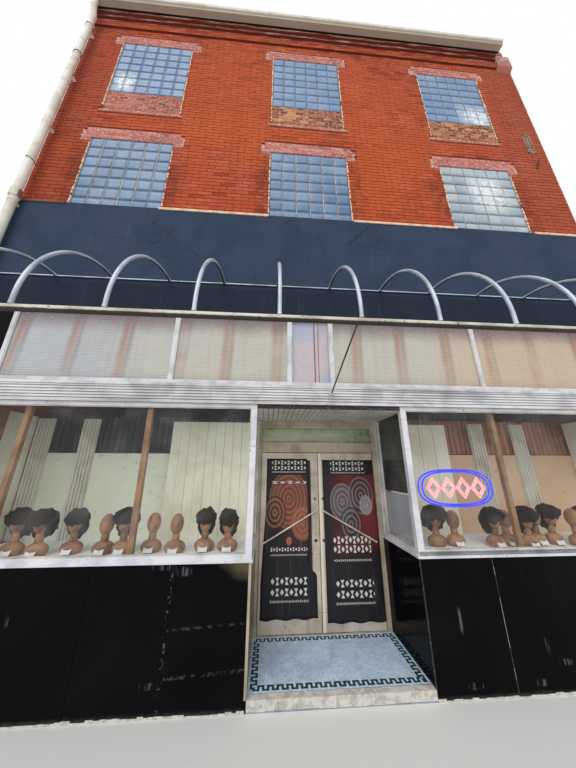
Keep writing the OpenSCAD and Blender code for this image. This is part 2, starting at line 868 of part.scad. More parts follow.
// Door frame: jambs, header and head round both leaves, with stops behind the leaves
module door_frame() {
    x0 = recess_left - frame_d;
    x1 = recess_right + frame_d;
    back = door_y + door_frame_d;
    stop_y = leaf_y + leaf_t + 5;
    color("tan") {
        difference() {
            block([x0, door_y, entry_z], [x1, back, head_z]);
            block([door_left, door_y - cut, entry_z - cut], [door_right, back + cut, header_z]);
            block([door_left, door_y - cut, over_glass_z],
                [door_right, back + cut, over_glass_z + over_glass_h]);
        }
        for (x = [door_left, door_right - stop_w])
            block([x, stop_y, entry_z], [x + stop_w, back, header_z]);
        block([door_left, stop_y, header_z - stop_w], [door_right, back, header_z]);
    }
}

// Left leaf, drawn with its hinge side at x = 0 and its street face at y = 0
module leaf() {
    difference() {
        block([0, 0, 0], [leaf_w, leaf_t, leaf_h]);
        block([stile_w, -cut, kick_rail_h], [leaf_w - stile_w, leaf_t + cut, leaf_h - stile_w]);
    }
    translate([pivot_inset, pivot_inset, seat - floor_gap]) cylinder(d = pivot_d, h = floor_gap);
    translate([pivot_inset, pivot_inset, leaf_h]) cylinder(d = pivot_d, h = leaf_gap - seat);
}

module leaf_glass() {
    block([stile_w, (leaf_t - glass_t) / 2, kick_rail_h],
        [leaf_w - stile_w, (leaf_t + glass_t) / 2, leaf_h - stile_w]);
}

// Push bar that climbs from the hinge stile to the meeting stile on two round feet
module leaf_bar() {
    low = [bar_inset, bar_low_level - floor_gap];
    high = [leaf_w - bar_inset, bar_high_level - floor_gap];
    rise = high - low;
    tail = 14;
    foot_d = bar_d * 0.7;
    bar_y = -bar_stand_off - bar_d / 2;
    translate([low[0], bar_y, low[1]]) rotate([0, atan2(rise[0], rise[1]), 0])
        translate([0, 0, -tail]) cylinder(d = bar_d, h = norm(rise) + 2 * tail);
    for (end = [low, high])
        translate([end[0], 0, end[1]]) rotate([90, 0, 0])
            cylinder(d = foot_d, h = bar_stand_off + bar_d / 2);
}

// Puts what is drawn for the left leaf in the left half of the opening
module at_left_leaf() {
    translate([door_left + leaf_gap, leaf_y, leaf_low_z]) children();
}

// Puts what is drawn for the left leaf in the right half of the opening, mirrored
module at_right_leaf() {
    translate([door_right - leaf_gap, leaf_y, leaf_low_z]) mirror([1, 0, 0]) children();
}

module left_door() {
    color("tan") at_left_leaf() leaf();
}

module left_door_glass() {
    color("lightcyan") at_left_leaf() leaf_glass();
}

module left_door_bar() {
    color("silver") at_left_leaf() leaf_bar();
}

module right_door() {
    color("tan") at_right_leaf() leaf();
}

module right_door_glass() {
    color("lightcyan") at_right_leaf() leaf_glass();
}

module right_door_bar() {
    color("silver") at_right_leaf() leaf_bar();
}

left_party_wall();
right_party_wall();
front_wall();
back_wall();
shopfront_piers();
shopfront_beam();
front_lintels();
front_window_infill();
front_cornice();
cornice_end_patch();
front_gutter();
back_gutter();
downspout();
front_roof_slope();
back_roof_slope();
ground_floor();
first_floor();
second_floor();
middle_glass_blocks();
top_glass_blocks();
back_glass_blocks();
fascia_panel();
fascia_trim();
awning_wall_bar();
awning_front_bar();
awning_bows();
transom_frame();
transom_ribbed_glass();
shopfront_band();
left_window_frame();
right_window_frame();
shop_window_glass();
left_bulkhead();
right_bulkhead();
bulkhead_panels();
display_cases();
recess_ceiling();
recess_floor();
door_frame();
left_door();
left_door_glass();
left_door_bar();
right_door();
right_door_glass();
right_door_bar();
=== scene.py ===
"""Looks of a three-storey brick row shop building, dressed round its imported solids.

Every length is in metres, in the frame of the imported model: the street front faces -Y, +X is to the
right of it and z = 0 is the level that the walls rest on.
"""

from __future__ import annotations

import logging
import math
import random
from dataclasses import dataclass, field
from enum import Enum
from typing import Callable, Iterable, Iterator, Sequence, Union

import bpy
from mathutils import Matrix, Vector, noise


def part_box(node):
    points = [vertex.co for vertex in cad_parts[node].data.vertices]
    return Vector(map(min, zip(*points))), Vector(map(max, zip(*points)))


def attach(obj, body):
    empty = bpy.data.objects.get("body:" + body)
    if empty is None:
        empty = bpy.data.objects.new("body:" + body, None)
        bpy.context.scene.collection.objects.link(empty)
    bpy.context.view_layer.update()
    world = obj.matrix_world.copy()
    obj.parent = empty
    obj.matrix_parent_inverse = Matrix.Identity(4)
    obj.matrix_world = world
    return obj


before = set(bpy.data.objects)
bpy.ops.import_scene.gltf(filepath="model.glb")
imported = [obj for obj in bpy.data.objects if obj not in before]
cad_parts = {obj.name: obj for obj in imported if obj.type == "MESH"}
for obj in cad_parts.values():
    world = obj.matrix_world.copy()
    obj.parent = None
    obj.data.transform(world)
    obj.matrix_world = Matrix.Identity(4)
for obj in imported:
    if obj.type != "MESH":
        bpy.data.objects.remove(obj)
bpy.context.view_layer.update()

LOG = logging.getLogger("shop")
SEED = 1907
Point = Sequence[float]
Area = tuple[float, float, float, float]
Socket = bpy.types.NodeSocket
SHOP = "shop"

STREET_FACE = -6.0
RECESS_LEFT, RECESS_RIGHT = -0.811, 0.804
PANEL_FOOT, PANEL_TOP = 0.082, 1.049
DECK = 1.07
BLOCK_PITCH = 0.2032
BRICK_LENGTH, COURSE, BRICK_JOINT = 0.203, 0.0677, 0.008
BOX_FACES = ((3, 2, 1, 0), (4, 5, 6, 7), (0, 1, 5, 4), (1, 2, 6, 5), (2, 3, 7, 6), (3, 0, 4, 7))


class Facing(Enum):
    """Side of the building that a wall face looks towards."""

    STREET = -1
    YARD = 1


class Run(Enum):
    """Direction that a grain, brush mark or stain runs in."""

    NONE = (1.0, 1.0, 1.0)
    X = (0.06, 1.0, 1.0)
    Y = (1.0, 0.06, 1.0)
    Z = (1.0, 1.0, 0.06)


def linear(colour: int) -> tuple[float, float, float, float]:
    """Turns a colour as it is seen on a screen into the renderer's linear one.

    Args:
        colour: Red, green and blue as one number, 0xrrggbb.

    Returns:
        The linear colour with an alpha of 1.
    """
    parts = [c / 255 for c in colour.to_bytes(3, "big")]
    r, g, b = (c / 12.92 if c <= 0.04045 else ((c + 0.055) / 1.055) ** 2.4 for c in parts)
    return (r, g, b, 1.0)


def operator(operation: str, reflected: bool = False) -> Callable[["Signal", "Value"], "Signal"]:
    """Makes an operator of signals that adds one Math node.

    Args:
        operation: The node's operation.
        reflected: True puts the signal second, as in 1 - mask.

    Returns:
        The method, which takes the other value and gives the node's result.
    """
    def method(self: "Signal", other: "Value" = 0.0) -> "Signal":
        """Adds the node, with the signal and the other value as its inputs."""
        first, second = (other, self) if reflected else (self, other)
        node = self.graph.node("ShaderNodeMath", {"operation": operation}, {0: first, 1: second})
        return Signal(self.graph, node.outputs[0])

    return method


class Signal:
    """A number that varies over a surface; arithmetic on it adds Math nodes.

    A comparison gives 1 where it holds and 0 elsewhere. repeat gives the place within a pattern of a pitch.
    """

    def __init__(self, graph: "Graph", socket: Socket) -> None:
        """Wraps one socket of a graph."""
        self.graph = graph
        self.socket = socket

    __add__ = __radd__ = operator("ADD")
    __sub__ = operator("SUBTRACT")
    __rsub__ = operator("SUBTRACT", reflected=True)
    __mul__ = __rmul__ = operator("MULTIPLY")
    __truediv__ = operator("DIVIDE")
    __rtruediv__ = operator("DIVIDE", reflected=True)
    __gt__ = operator("GREATER_THAN")
    __lt__ = operator("LESS_THAN")
    __abs__ = operator("ABSOLUTE")
    root = operator("SQRT")
    repeat = operator("FLOORED_MODULO")

    def between(self, low: float, high: float, ease: float = 0.004) -> "Signal":
        """1 from low to high, easing to 0 outside them."""
        return self.above(low - ease, low) * self.under(high, high + ease)

    def above(self, low: float, high: float) -> "Signal":
        """Soft step.

        Args:
            low: Value at and below which the result is 0.
            high: Value at and above which the result is 1.

        Returns:
            The signal eased from 0 to 1 between the two.
        """
        node = self.graph.node("ShaderNodeMapRange", {"interpolation_type": "SMOOTHSTEP"},
                               {"Value": self, "From Min": low, "From Max": high})
        return Signal(self.graph, node.outputs[0])

    def under(self, low: float, high: float) -> "Signal":
        """Soft step that falls: 1 below low, 0 above high."""
        return 1.0 - self.above(low, high)

    def near(self, middle: float, reach: float) -> "Signal":
        """1 at the middle value, easing to 0 at the reach on both sides of it."""
        return abs(self - middle).under(0.0, reach)


Value = Union[float, Signal]
Link = Union[float, tuple, Signal, Socket]
Tint = Union[int, Socket]


class Nodes:
    """Node tree that is being filled."""

    def __init__(self, tree: bpy.types.NodeTree) -> None:
        """Starts with the tree empty."""
        self.tree = tree
        tree.nodes.clear()

    def node(self, kind: str, settings: dict | None = None, inputs: dict | None = None) -> bpy.types.Node:
        """Adds one node.

        Args:
            kind: Type name of the node.
            settings: Attributes, set before the sockets; "stops" sets a colour ramp.
            inputs: Values, signals or links by socket name or number.

        Returns:
            The node.
        """
        made = self.tree.nodes.new(kind)
        for name, value in (settings or {}).items():
            if name == "stops":
                for n, (position, colour) in enumerate(value):
                    stops = made.color_ramp.elements
                    stop = stops[n] if n < 2 else stops.new(position)
                    stop.position = position
                    stop.color = linear(colour)
            else:
                setattr(made, name, value)
        for key, value in (inputs or {}).items():
            self.feed(made.inputs[key], value)
        return made

    def feed(self, socket: Socket, value: Link) -> None:
        """Sets a socket to a value, or links it.

        Args:
            socket: Input of a node.
            value: Plain value, or the signal or output that it is linked to.
        """
        if isinstance(value, Signal):
            self.tree.links.new(value.socket, socket)
        elif isinstance(value, Socket):
            self.tree.links.new(value, socket)
        else:
            socket.default_value = value


class Graph(Nodes):
    """Node tree of one material, with the colour that is laid on so far."""

    def __init__(self, title: str) -> None:
        """Starts an empty material of that title."""
        self.material = bpy.data.materials.new(title)
        self.material.use_nodes = True
        super().__init__(self.material.node_tree)
        self.output = self.node("ShaderNodeOutputMaterial")
        self.place = self.node("ShaderNodeTexCoord").outputs["Object"]
        self.geometry = self.node("ShaderNodeNewGeometry")
        parts = self.node("ShaderNodeSeparateXYZ", {}, {0: self.place})
        self.x, self.y, self.z = (Signal(self, parts.outputs[n]) for n in range(3))
        turned = self.node("ShaderNodeSeparateXYZ", {}, {0: self.geometry.outputs["Normal"]})
        self.up = Signal(self, turned.outputs[2])
        self.street = abs(Signal(self, turned.outputs[1]))
        self.colour: Tint = 0xffffff

    def stretched(self, run: Run, shift: Point = (0.0, 0.0, 0.0)) -> Socket:
        """Object coordinates squeezed along the run, so that a noise on them draws out along it."""
        scaled = self.node("ShaderNodeVectorMath", {"operation": "MULTIPLY"}, {0: self.place, 1: run.value})
        moved = self.node("ShaderNodeVectorMath", {"operation": "ADD"},
                          {0: scaled.outputs[0], 1: tuple(shift)})
        return moved.outputs[0]

    def cloud(self, size: float, detail: float = 3.0, shift: Point = (0.0, 0.0, 0.0), run: Run = Run.NONE,
              warp: float = 0.0) -> Signal:
        """Soft noise.

        Args:
            size: Size of its largest blots.
            detail: Octaves of finer noise in it.
            shift: Offset that makes it differ from another of the same size.
            run: Direction that it is drawn out along.
            warp: Distortion of the blots' outlines.

        Returns:
            The noise, from about 0.25 to 0.75.
        """
        made = self.node("ShaderNodeTexNoise", {}, {"Vector": self.stretched(run, shift), "Scale": 1 / size,
                                                    "Detail": detail, "Distortion": warp})
        return Signal(self, made.outputs[0])

    def island(self) -> Signal:
        """Random number of each separate stone, brick or block in a mesh, from 0 to 1."""
        return Signal(self, self.geometry.outputs["Random Per Island"])

    def spot(self, x: float, z: float, wide: float, tall: float) -> Signal:
        """1 at a point of the street front, easing to 0 at its reach in x and in z."""
        return self.x.near(x, wide) * self.z.near(z, tall)

    def mix(self, share: Value, first: Tint, second: Tint, blend: str = "MIX") -> Socket:
        """Mixes two colours.

        Args:
            share: Share of the second colour.
            first: Colour under the mix.
            second: Colour laid over it.
            blend: Way of mixing.

        Returns:
            The mixed colour's socket.
        """
        under, over = (linear(c) if isinstance(c, int) else c for c in (first, second))
        made = self.node("ShaderNodeMix", {"data_type": "RGBA", "blend_type": blend},
                         {0: share, 6: under, 7: over})
        return made.outputs[2]

    def base(self, share: Value, first: Tint, second: Tint) -> None:
        """Starts the surface's colour as a mix of two."""
        self.colour = self.mix(share, first, second)

    def lay(self, mask: Value, tint: Tint) -> None:
        """Lays a colour over the surface's colour where the mask says."""
        self.colour = self.mix(mask, self.colour, tint)

    def tone(self, signal: Signal) -> None:
        """Multiplies the surface's colour by a grey that the signal gives, 1 leaving it as it is."""
        grey = self.node("ShaderNodeCombineXYZ", {}, {0: signal, 1: signal, 2: signal})
        self.colour = self.mix(1.0, self.colour, grey.outputs[0], "MULTIPLY")

    def below(self) -> Signal:
        """1 on faces that look down, 0 on upright and level ones."""
        return (0.0 - self.up).above(0.25, 0.7)

    def bump(self, height: Signal, depth: float) -> Socket:
        """Turns a height from 0 to 1 into a shading normal, 1 standing for a real depth."""
        made = self.node("ShaderNodeBump", {}, {"Height": height, "Distance": depth, "Strength": 1.0})
        return made.outputs[0]

    def surface(self, rough: Value, normal: Socket | None = None, metallic: float = 0.0,
                specular: float = 0.5) -> Socket:
        """Adds the surface shader over the colour that is laid on.

        Args:
            rough: Roughness.
            normal: Shading normal.
            metallic: Share of bare metal.
            specular: Strength of the gloss.

        Returns:
            The shader's socket.
        """
        tint = linear(self.colour) if isinstance(self.colour, int) else self.colour
        inputs: dict = {"Base Color": tint, "Roughness": rough, "Metallic": metallic,
                        "Specular IOR Level": specular}
        if normal is not None:
            inputs["Normal"] = normal
        return self.node("ShaderNodeBsdfPrincipled", {}, inputs).outputs[0]

    def close(self, shader: Socket) -> bpy.types.Material:
        """Sends the shader to the output and gives the finished material."""
        self.tree.links.new(shader, self.output.inputs["Surface"])
        return self.material


@dataclass(frozen=True)
class Finish:
    """A finish that makes its material once, however many pieces wear it."""

    title: str

    def material(self) -> bpy.types.Material:
        """The finish's material, made at the first call."""
        name = f"{self.title}_finish"
        known = bpy.data.materials.get(name)
        if known is not None:
            return known
        graph = Graph(name)
        return graph.close(self.shade(graph))

    def shade(self, g: Graph) -> Socket:
        """Builds the shader; each finish has its own.

        Args:
            g: Graph of the finish's material.

        Returns:
            The shader's socket.
        """
        raise NotImplementedError


@dataclass(frozen=True)
class Weathered(Finish):
    """Opaque finish with mottles, flecks, run stains and a fine grain.

    A band is two levels and the colour below them; beyond is a level in x, the side of it that is tinted,
    and the tint; under is the colour of painted shade on faces that look down.
    """

    colour: int
    second: int
    fleck: int = 0x3c322d
    stain: int = 0x463c34
    mottle: float = 0.35
    share: float = 0.5
    fleck_size: float = 0.012
    flecks: float = 0.25
    stains: float = 0.25
    run: Run = Run.Z
    rough: float = 0.7
    metallic: float = 0.0
    grain: float = 0.006
    depth: float = 0.0006
    per_piece: float = 0.0
    beyond: tuple[float, float, int] | None = None
    specular: float = 0.35
    under: int | None = None
    band: tuple[float, float, int] | None = None

    def shade(self, g: Graph) -> Socket:
        """Lays mottles, a tone for each island, flecks and stains over the colour."""
        mottles = g.cloud(self.mottle, 6, warp=0.6).above(0.62 - self.share * 0.4, 0.85 - self.share * 0.4)
        g.base(mottles, self.colour, self.second)
        if self.band is not None:
            low, high, tint = self.band
            wavy = g.z + (g.cloud(0.1, 4) - 0.5) * 0.02
            g.lay(wavy.under(low, high) * 0.9, tint)
        if self.per_piece:
            g.tone(1.0 + (g.island() - 0.5) * (2 * self.per_piece))
        speck = g.cloud(self.fleck_size, 4, (3.1, 1.7, 8.3))
        specks = speck.above(0.72 - self.flecks * 0.25, 0.78 - self.flecks * 0.25)
        g.lay(specks * 0.75, self.fleck)
        runs = g.cloud(0.09, 4, (5.3, 2.9, 0.4), run=self.run).above(0.68 - self.stains * 0.3, 0.9)
        g.lay(runs * min(1.0, 0.3 + self.stains), self.stain)
        if self.beyond is not None:
            level, sign, tint = self.beyond
            g.lay((g.x * sign > level * sign) * 0.9, tint)
        # Painted shade on faces that look down.
        if self.under is not None:
            g.lay(g.below(), self.under)
        height = g.cloud(self.grain, 3, (0.7, 4.4, 2.2))
        normal = g.bump(height * 0.8 + speck * 0.2, self.depth)
        rough = self.rough + (mottles - 0.5) * 0.12 + specks * 0.1
        return g.surface(rough, normal, self.metallic, specular=self.specular)


@dataclass(frozen=True)
class FaceBrick(Finish):
    """Fired brick that differs from brick to brick, with soot, smears of lime, painted shade on its
    undersides, a painted shadow under the gutter and a painted shadow of the neighbouring building at its
    left end.
    """

    colour: int
    dark: int
    pale: int
    glow: int = 0xc45c2e
    soot: int = 0x623024
    under: int = 0x58221a
    dust: int = 0xdec4b4
    dusty: float = 0.0
    dark_share: float = 0.08
    contrast: float = 0.35
    shadow_edge_x: float = -3.1
    mauve: int = 0x8e4e42
    fired: tuple[Area, ...] = ((1.2, 6.2, 1.0, 1.3), (-1.5, 7.0, 0.9, 1.1), (1.2, 8.6, 0.8, 0.9))

    def _weather(self, g: Graph) -> None:
        """Lays soot, lime, warm patches, darker patches beside the middle windows, a painted shadow of the
        neighbouring building over the left end and a mauve tone over the right end; fired are areas as spots.
        """
        grimy = g.cloud(1.1, 5, (6, 0, 3.3), warp=0.8).above(0.5, 0.66)
        grimy = grimy * g.cloud(0.12, 4, (0, 5, 0)).above(0.35, 0.6)
        g.lay(grimy * 0.4, self.soot)
        lime = g.cloud(0.7, 4, (2.5, 0, 7.1), warp=0.8).above(0.52, 0.68)
        lime = lime * g.cloud(0.026, 4, (4, 4, 0)).above(0.5, 0.6)
        g.lay(lime * 0.34, 0xd69882)
        warm = g.cloud(2.2, 3, (0.4, 0, 1.3)).above(0.4, 0.62)
        g.lay(warm * 0.5, self.glow)
        for area in self.fired:
            zone = (g.spot(*area) * 2.0).above(0.0, 1.0)
            g.lay(zone * warm.above(-0.6, 1.0) * 0.55, self.glow)
        patchy = g.cloud(0.2, 5, (1, 0, 8), warp=0.6).above(0.36, 0.6)
        for middle in MIDDLES:
            beside = (abs(g.x - middle) - 0.61).near(0.06, 0.3) * g.z.near(5.9, 1.0)
            g.lay(beside * patchy * 0.75, self.soot)
        # Painted shadow of the neighbouring building, darkening the left end.
        neighbour_shadow = (g.x + g.cloud(0.6, 3)).under(self.shadow_edge_x - 1.0, self.shadow_edge_x + 0.9)
        g.lay(neighbour_shadow * 0.62, self.dark)
        right_end = (g.x + g.cloud(0.8, 4, (2, 2, 2))).above(3.2, 4.4)
        g.lay(right_end * 0.42, self.mauve)

    def shade(self, g: Graph) -> Socket:
        """Tones each brick by its island and the wall by slow clouds."""
        chance = g.island()
        g.base(chance.above(0.6, 1.0) * self.contrast, self.colour, self.pale)
        g.lay((chance < self.dark_share) * (self.contrast * 1.3), self.dark)
        if not self.dusty:
            self._weather(g)
        blots = g.cloud(0.045, 4).above(0.52, 0.7)
        g.lay(blots * 0.35, self.dark)
        wash = g.cloud(0.3, 5, (8, 1, 6), run=Run.Z).above(0.5, 0.78)
        g.lay(wash * 0.4, self.dark)
        pits = g.cloud(0.009, 4, (2, 7, 1)).above(0.62, 0.7)
        g.lay(pits * 0.4, self.soot)
        # Painted shadow under the gutter along the top courses; the pale chips in it are flecks.
        crown = (g.z + g.cloud(0.3, 3) * 0.06).above(9.84, 9.91)
        g.lay(crown * 0.7, 0x682820)
        chips = g.cloud(0.022, 4, (6, 6, 2), run=Run.X).above(0.52, 0.58) * crown
        g.lay(chips * 0.8, 0xd2aca0)
        if self.dusty:
            film = g.cloud(0.035, 5, (9, 2, 5), warp=0.6).above(0.6 - self.dusty * 0.2, 0.72)
            g.lay(film * 0.75, self.dust)
            crumbs = g.cloud(0.02, 3, (1, 8, 5)).above(0.62, 0.68)
            g.lay(crumbs * 0.7, self.dust)
        # Painted shade on faces that look down.
        g.lay(g.below() * 0.9, self.under)
        normal = g.bump(g.cloud(0.011, 4) * 0.6 + pits * -0.4 + 0.4, 0.0022)
        return g.surface(0.88 - blots * 0.06, normal, specular=0.15)


@dataclass(frozen=True)
class CoursedBrick(Finish):
    """Flush brick courses drawn on a plain wall face, aligned with the laid ones.

    A coping is the colour above the coping line, given as its level at y = 0 and its slope. A bed is the
    mortar's colour on faces that laid bricks stand on. Under is the colour of painted shade on faces that
    look down.
    """

    colour: int
    second: int
    mortar: int
    under: int = 0x4a1e18
    coping: int | None = None
    coping_line: tuple[float, float] = (0.0, 0.0)
    bed: int | None = None

    def shade(self, g: Graph) -> Socket:
        """Draws courses along both wall directions, since one of the two is constant on a face."""
        along = g.x + g.y
        spot = g.node("ShaderNodeCombineXYZ", {}, {0: along, 1: g.z})
        bricks = g.node("ShaderNodeTexBrick", {"offset": 0.5}, {
            "Vector": spot.outputs[0], "Color1": linear(self.colour), "Color2": linear(self.second),
            "Mortar": linear(self.mortar), "Scale": 1.0, "Mortar Size": BRICK_JOINT / 2, "Mortar Smooth": 0.3,
            "Bias": 0.0, "Brick Width": BRICK_LENGTH + BRICK_JOINT, "Row Height": COURSE})
        joint = Signal(g, bricks.outputs["Fac"])
        g.colour = bricks.outputs["Color"]
        g.tone(0.8 + g.cloud(1.9, 4) * 0.4)
        lime = g.cloud(0.5, 6, (4, 4, 4), run=Run.Z, warp=1).above(0.6, 0.78)
        g.lay(lime * 0.45, 0xaa968a)
        soot = g.cloud(0.2, 5, (8, 1, 6), run=Run.Z).above(0.58, 0.8)
        g.lay(soot * 0.4, 0x46342e)
        height = (1.0 - joint) * 0.7 + g.cloud(0.012, 4) * 0.3
        if self.coping is not None:
            top, slope = self.coping_line
            stone = (g.z + abs(g.y) * slope - top).above(-0.002, 0.002)
            dirt = g.cloud(0.12, 5).above(0.45, 0.75)
            g.lay(stone, g.mix(dirt * 0.6, self.coping, 0x706c62))
            height = height * (1.0 - stone) + stone * g.cloud(0.02, 5)
        if self.bed is not None:
            faced = g.street.above(0.5, 0.6)
            crumbs = g.cloud(0.012, 4, (3, 1, 2))
            mortar = g.mix(g.cloud(0.14, 4).above(0.4, 0.7) * 0.6, self.bed, self.under)
            g.lay(faced, g.mix(crumbs.above(0.6, 0.72) * 0.5, mortar, 0xbe8870))
            height = height * (1.0 - faced) + faced * crumbs * 0.4
        # Painted shade on faces that look down.
        g.lay(g.below() * 0.85, self.under)
        return g.surface(0.88, g.bump(height, 0.005), specular=0.15)


@dataclass(frozen=True)
class BlockGlass(Finish):
    """Cast glass block: its blue tint is a painted reflection of the sky; rippled and different in each
    block.
    """

    colour: int
    deep: int
    foot: float
    lows: float = 0.35
    glint: int = 0xe2eaf0
    glints: tuple[Area, ...] = ()

    def shade(self, g: Graph) -> Socket:
        """Mixes the painted sky-blue by block and by ripple, paints shade low in each block and a highlight
        along its top, and lays painted glints, given as spots, over it.
        """
        chance = g.island()
        ripple = g.cloud(0.07, 1, (1, 3, 2), warp=1.2)
        # The blue of the blocks is painted sky reflection.
        g.base(chance * 0.8, self.colour, self.deep)
        g.lay(ripple.above(0.42, 0.6) * 0.35, self.deep)
        pale = g.cloud(0.6, 3, (4, 0, 9)).above(0.45, 0.7)
        g.lay(pale * 0.3, 0xa0b2c8)
        # Painted shade on the lower part of each block and a painted highlight along its top edge.
        level = ((g.z - self.foot) / BLOCK_PITCH + ripple * 0.16).repeat(1.0)
        g.tone(1.0 - level.under(0.12, 0.5) * self.lows)
        g.lay(level.near(0.84, 0.14) * self.lows, 0xc8d4e2)
        for area in self.glints:
            g.lay(g.spot(*area) * 1.6 * (0.35 + ripple.above(0.4, 0.6) * 0.6), self.glint)
        grime = g.cloud(0.02, 4, (7, 7, 1)).above(0.6, 0.75)
        g.lay(grime * 0.25, 0x787670)
        normal = g.bump(ripple * 0.85 + g.cloud(0.012, 2) * 0.15, 0.004)
        return g.surface(0.3 + grime * 0.3, normal, specular=0.25)


@dataclass(frozen=True)
class RibbedGlass(Finish):
    """Rolled obscured glass with the rusty shadows of studs behind it and a dusky top."""

    body: int = 0xcdcac0
    cool: int = 0xbec4ce
    warm: int = 0xd6bea8
    rust: int = 0xb07a62
    shadow: int = 0x887670
    top: int = 0x86767c
    soil: int = 0x968476
    studs: tuple[float, ...] = (-3.52, -2.93, -2.365, -1.72, -1.2, -0.62, 0.36, 0.9, 1.5, 2.08, 2.65, 3.3)
    low: float = 2.81
    high: float = 3.62

    def shade(self, g: Graph) -> Socket:
        """Lays bluish, pale and warm bays under soft upright bands, a dusky top and fine ribs, with painted
        light and shade across each rib.
        """
        drift = g.cloud(0.9, 3, (2, 0, 1))
        cool = (g.x + drift * 1.6).under(-1.9, -0.4)
        warm = (g.x + drift * 1.6).above(1.7, 2.9)
        g.base(cool * 0.8, self.body, self.cool)
        g.lay(warm * 0.85, self.warm)
        drape = g.cloud(0.05, 3, (6, 0, 0), run=Run.Z).above(0.42, 0.75)
        g.lay(drape * 0.3, 0xbaaa98)
        lean = g.x + (g.z - self.high) * -0.03 + g.cloud(0.5, 2, (0, 5, 0)) * 0.02 - 0.01
        fade = g.cloud(0.5, 2, (3, 3, 3)).above(0.1, 0.6) * (g.z.above(2.7, 3.7) * 0.5 + 0.5)
        for stud in self.studs:
            g.lay(lean.near(stud, 0.075) * fade * 0.8, self.rust)
            g.lay(lean.near(stud + 0.07, 0.05) * fade * 0.6, self.shadow)
        dusk = (g.z + g.cloud(0.4, 3) * 0.16).above(self.high - 0.2, self.high + 0.06)
        g.lay(dusk * 0.8, self.top)
        rib = g.z.repeat(0.0132).near(0.0066, 0.0066)
        # Painted light and shade across each rib.
        g.tone(0.8 + rib * 0.26)
        soiled = (g.z + g.cloud(0.25, 4) * 0.1).under(self.low + 0.03, self.low + 0.2)
        g.lay(soiled * 0.3, self.soil)
        specks = g.cloud(0.016, 3).above(0.66, 0.7) * (g.z + g.cloud(0.3, 2) * 0.3).above(3.45, 3.7)
        g.lay(specks * 0.8, 0xe8e4dc)
        return g.surface(0.5 + specks * 0.3, g.bump(rib, 0.0008), specular=0.2)


@dataclass(frozen=True)
class ClearGlass(Finish):
    """Plate glass: see-through, with the reflection that its angle gives and a little dust."""

    tint: int = 0xfdfefd
    dust: float = 0.045
    film: int = 0xe2e4e6
    veil: float = 0.005
    least: float = 0.024

    def shade(self, g: Graph) -> Socket:
        """Mixes a clear shader with a mirror by the viewing angle, then with dust."""
        clear = g.node("ShaderNodeBsdfTransparent", {}, {"Color": linear(self.tint)})
        mirror = g.node("ShaderNodeBsdfGlossy", {}, {"Color": (1.0, 1.0, 1.0, 1.0), "Roughness": 0.02})
        facing = Signal(g, g.node("ShaderNodeLayerWeight", {}, {"Blend": 0.5}).outputs["Facing"])
        square = facing * facing
        outside = 1.0 - Signal(g, g.geometry.outputs["Backfacing"])
        share = (self.least + square * square * facing * (1.0 - self.least)) * outside
        pane = g.node("ShaderNodeMixShader", {}, {0: share, 1: clear.outputs[0], 2: mirror.outputs[0]})
        g.colour = self.film
        dirt = g.surface(0.9)
        smear = g.cloud(0.35, 5, (1, 2, 3), warp=1).above(0.4, 0.8) * self.dust + self.veil
        return g.node("ShaderNodeMixShader", {}, {0: smear, 1: pane.outputs[0], 2: dirt}).outputs[0]


@dataclass(frozen=True)
class Stucco(Finish):
    """Painted stucco board with hairline cracks, tide marks and painted shade on its lower zone, under the
    wall bar.
    """

    colour: int = 0x39455a
    second: int = 0x334054
    low: int = 0x242a38
    shade_level: float = 4.04

    def shade(self, g: Graph) -> Socket:
        """Draws cracks along the edges of large cells and painted shade under the bar."""
        g.base(g.cloud(0.6, 6, warp=0.8).above(0.4, 0.62), self.colour, self.second)
        # Painted shade below the wall bar.
        under = (g.z + g.cloud(0.3, 3) * 0.05).under(self.shade_level - 0.03, self.shade_level + 0.07)
        g.lay(under * 0.85, self.low)
        rust = g.cloud(0.08, 4, (3, 0, 5), run=Run.Z).above(0.56, 0.75) * under
        g.lay(rust * 0.2, 0x524640)
        streak = g.cloud(0.05, 4, (1, 0, 2), run=Run.Z).above(0.6, 0.8)
        g.lay(streak * 0.22, 0x606a7c)
        warp = g.cloud(0.22, 3, (5, 5, 5))
        drift = g.node("ShaderNodeCombineXYZ", {}, {0: warp * 0.5, 1: 0.0, 2: warp * 0.4})
        spot = g.node("ShaderNodeVectorMath", {"operation": "ADD"}, {0: g.place, 1: drift.outputs[0]})
        cracked = g.node("ShaderNodeTexVoronoi", {"feature": "DISTANCE_TO_EDGE"},
                         {"Vector": spot.outputs[0], "Scale": 0.85})
        crack = Signal(g, cracked.outputs["Distance"]).under(0.0, 0.006)
        some = g.cloud(0.8, 2, (2, 9, 4)).above(0.48, 0.56)
        g.lay(crack * some * 0.55, 0x222836)
        chips = g.cloud(0.012, 3).above(0.74, 0.77)
        g.lay(chips * 0.6, 0x96989e)
        height = g.cloud(0.007, 4) * 0.5 + g.cloud(0.16, 3) * 0.5 - crack * some * 0.6
        return g.surface(0.85, g.bump(height, 0.0035), specular=0.08)


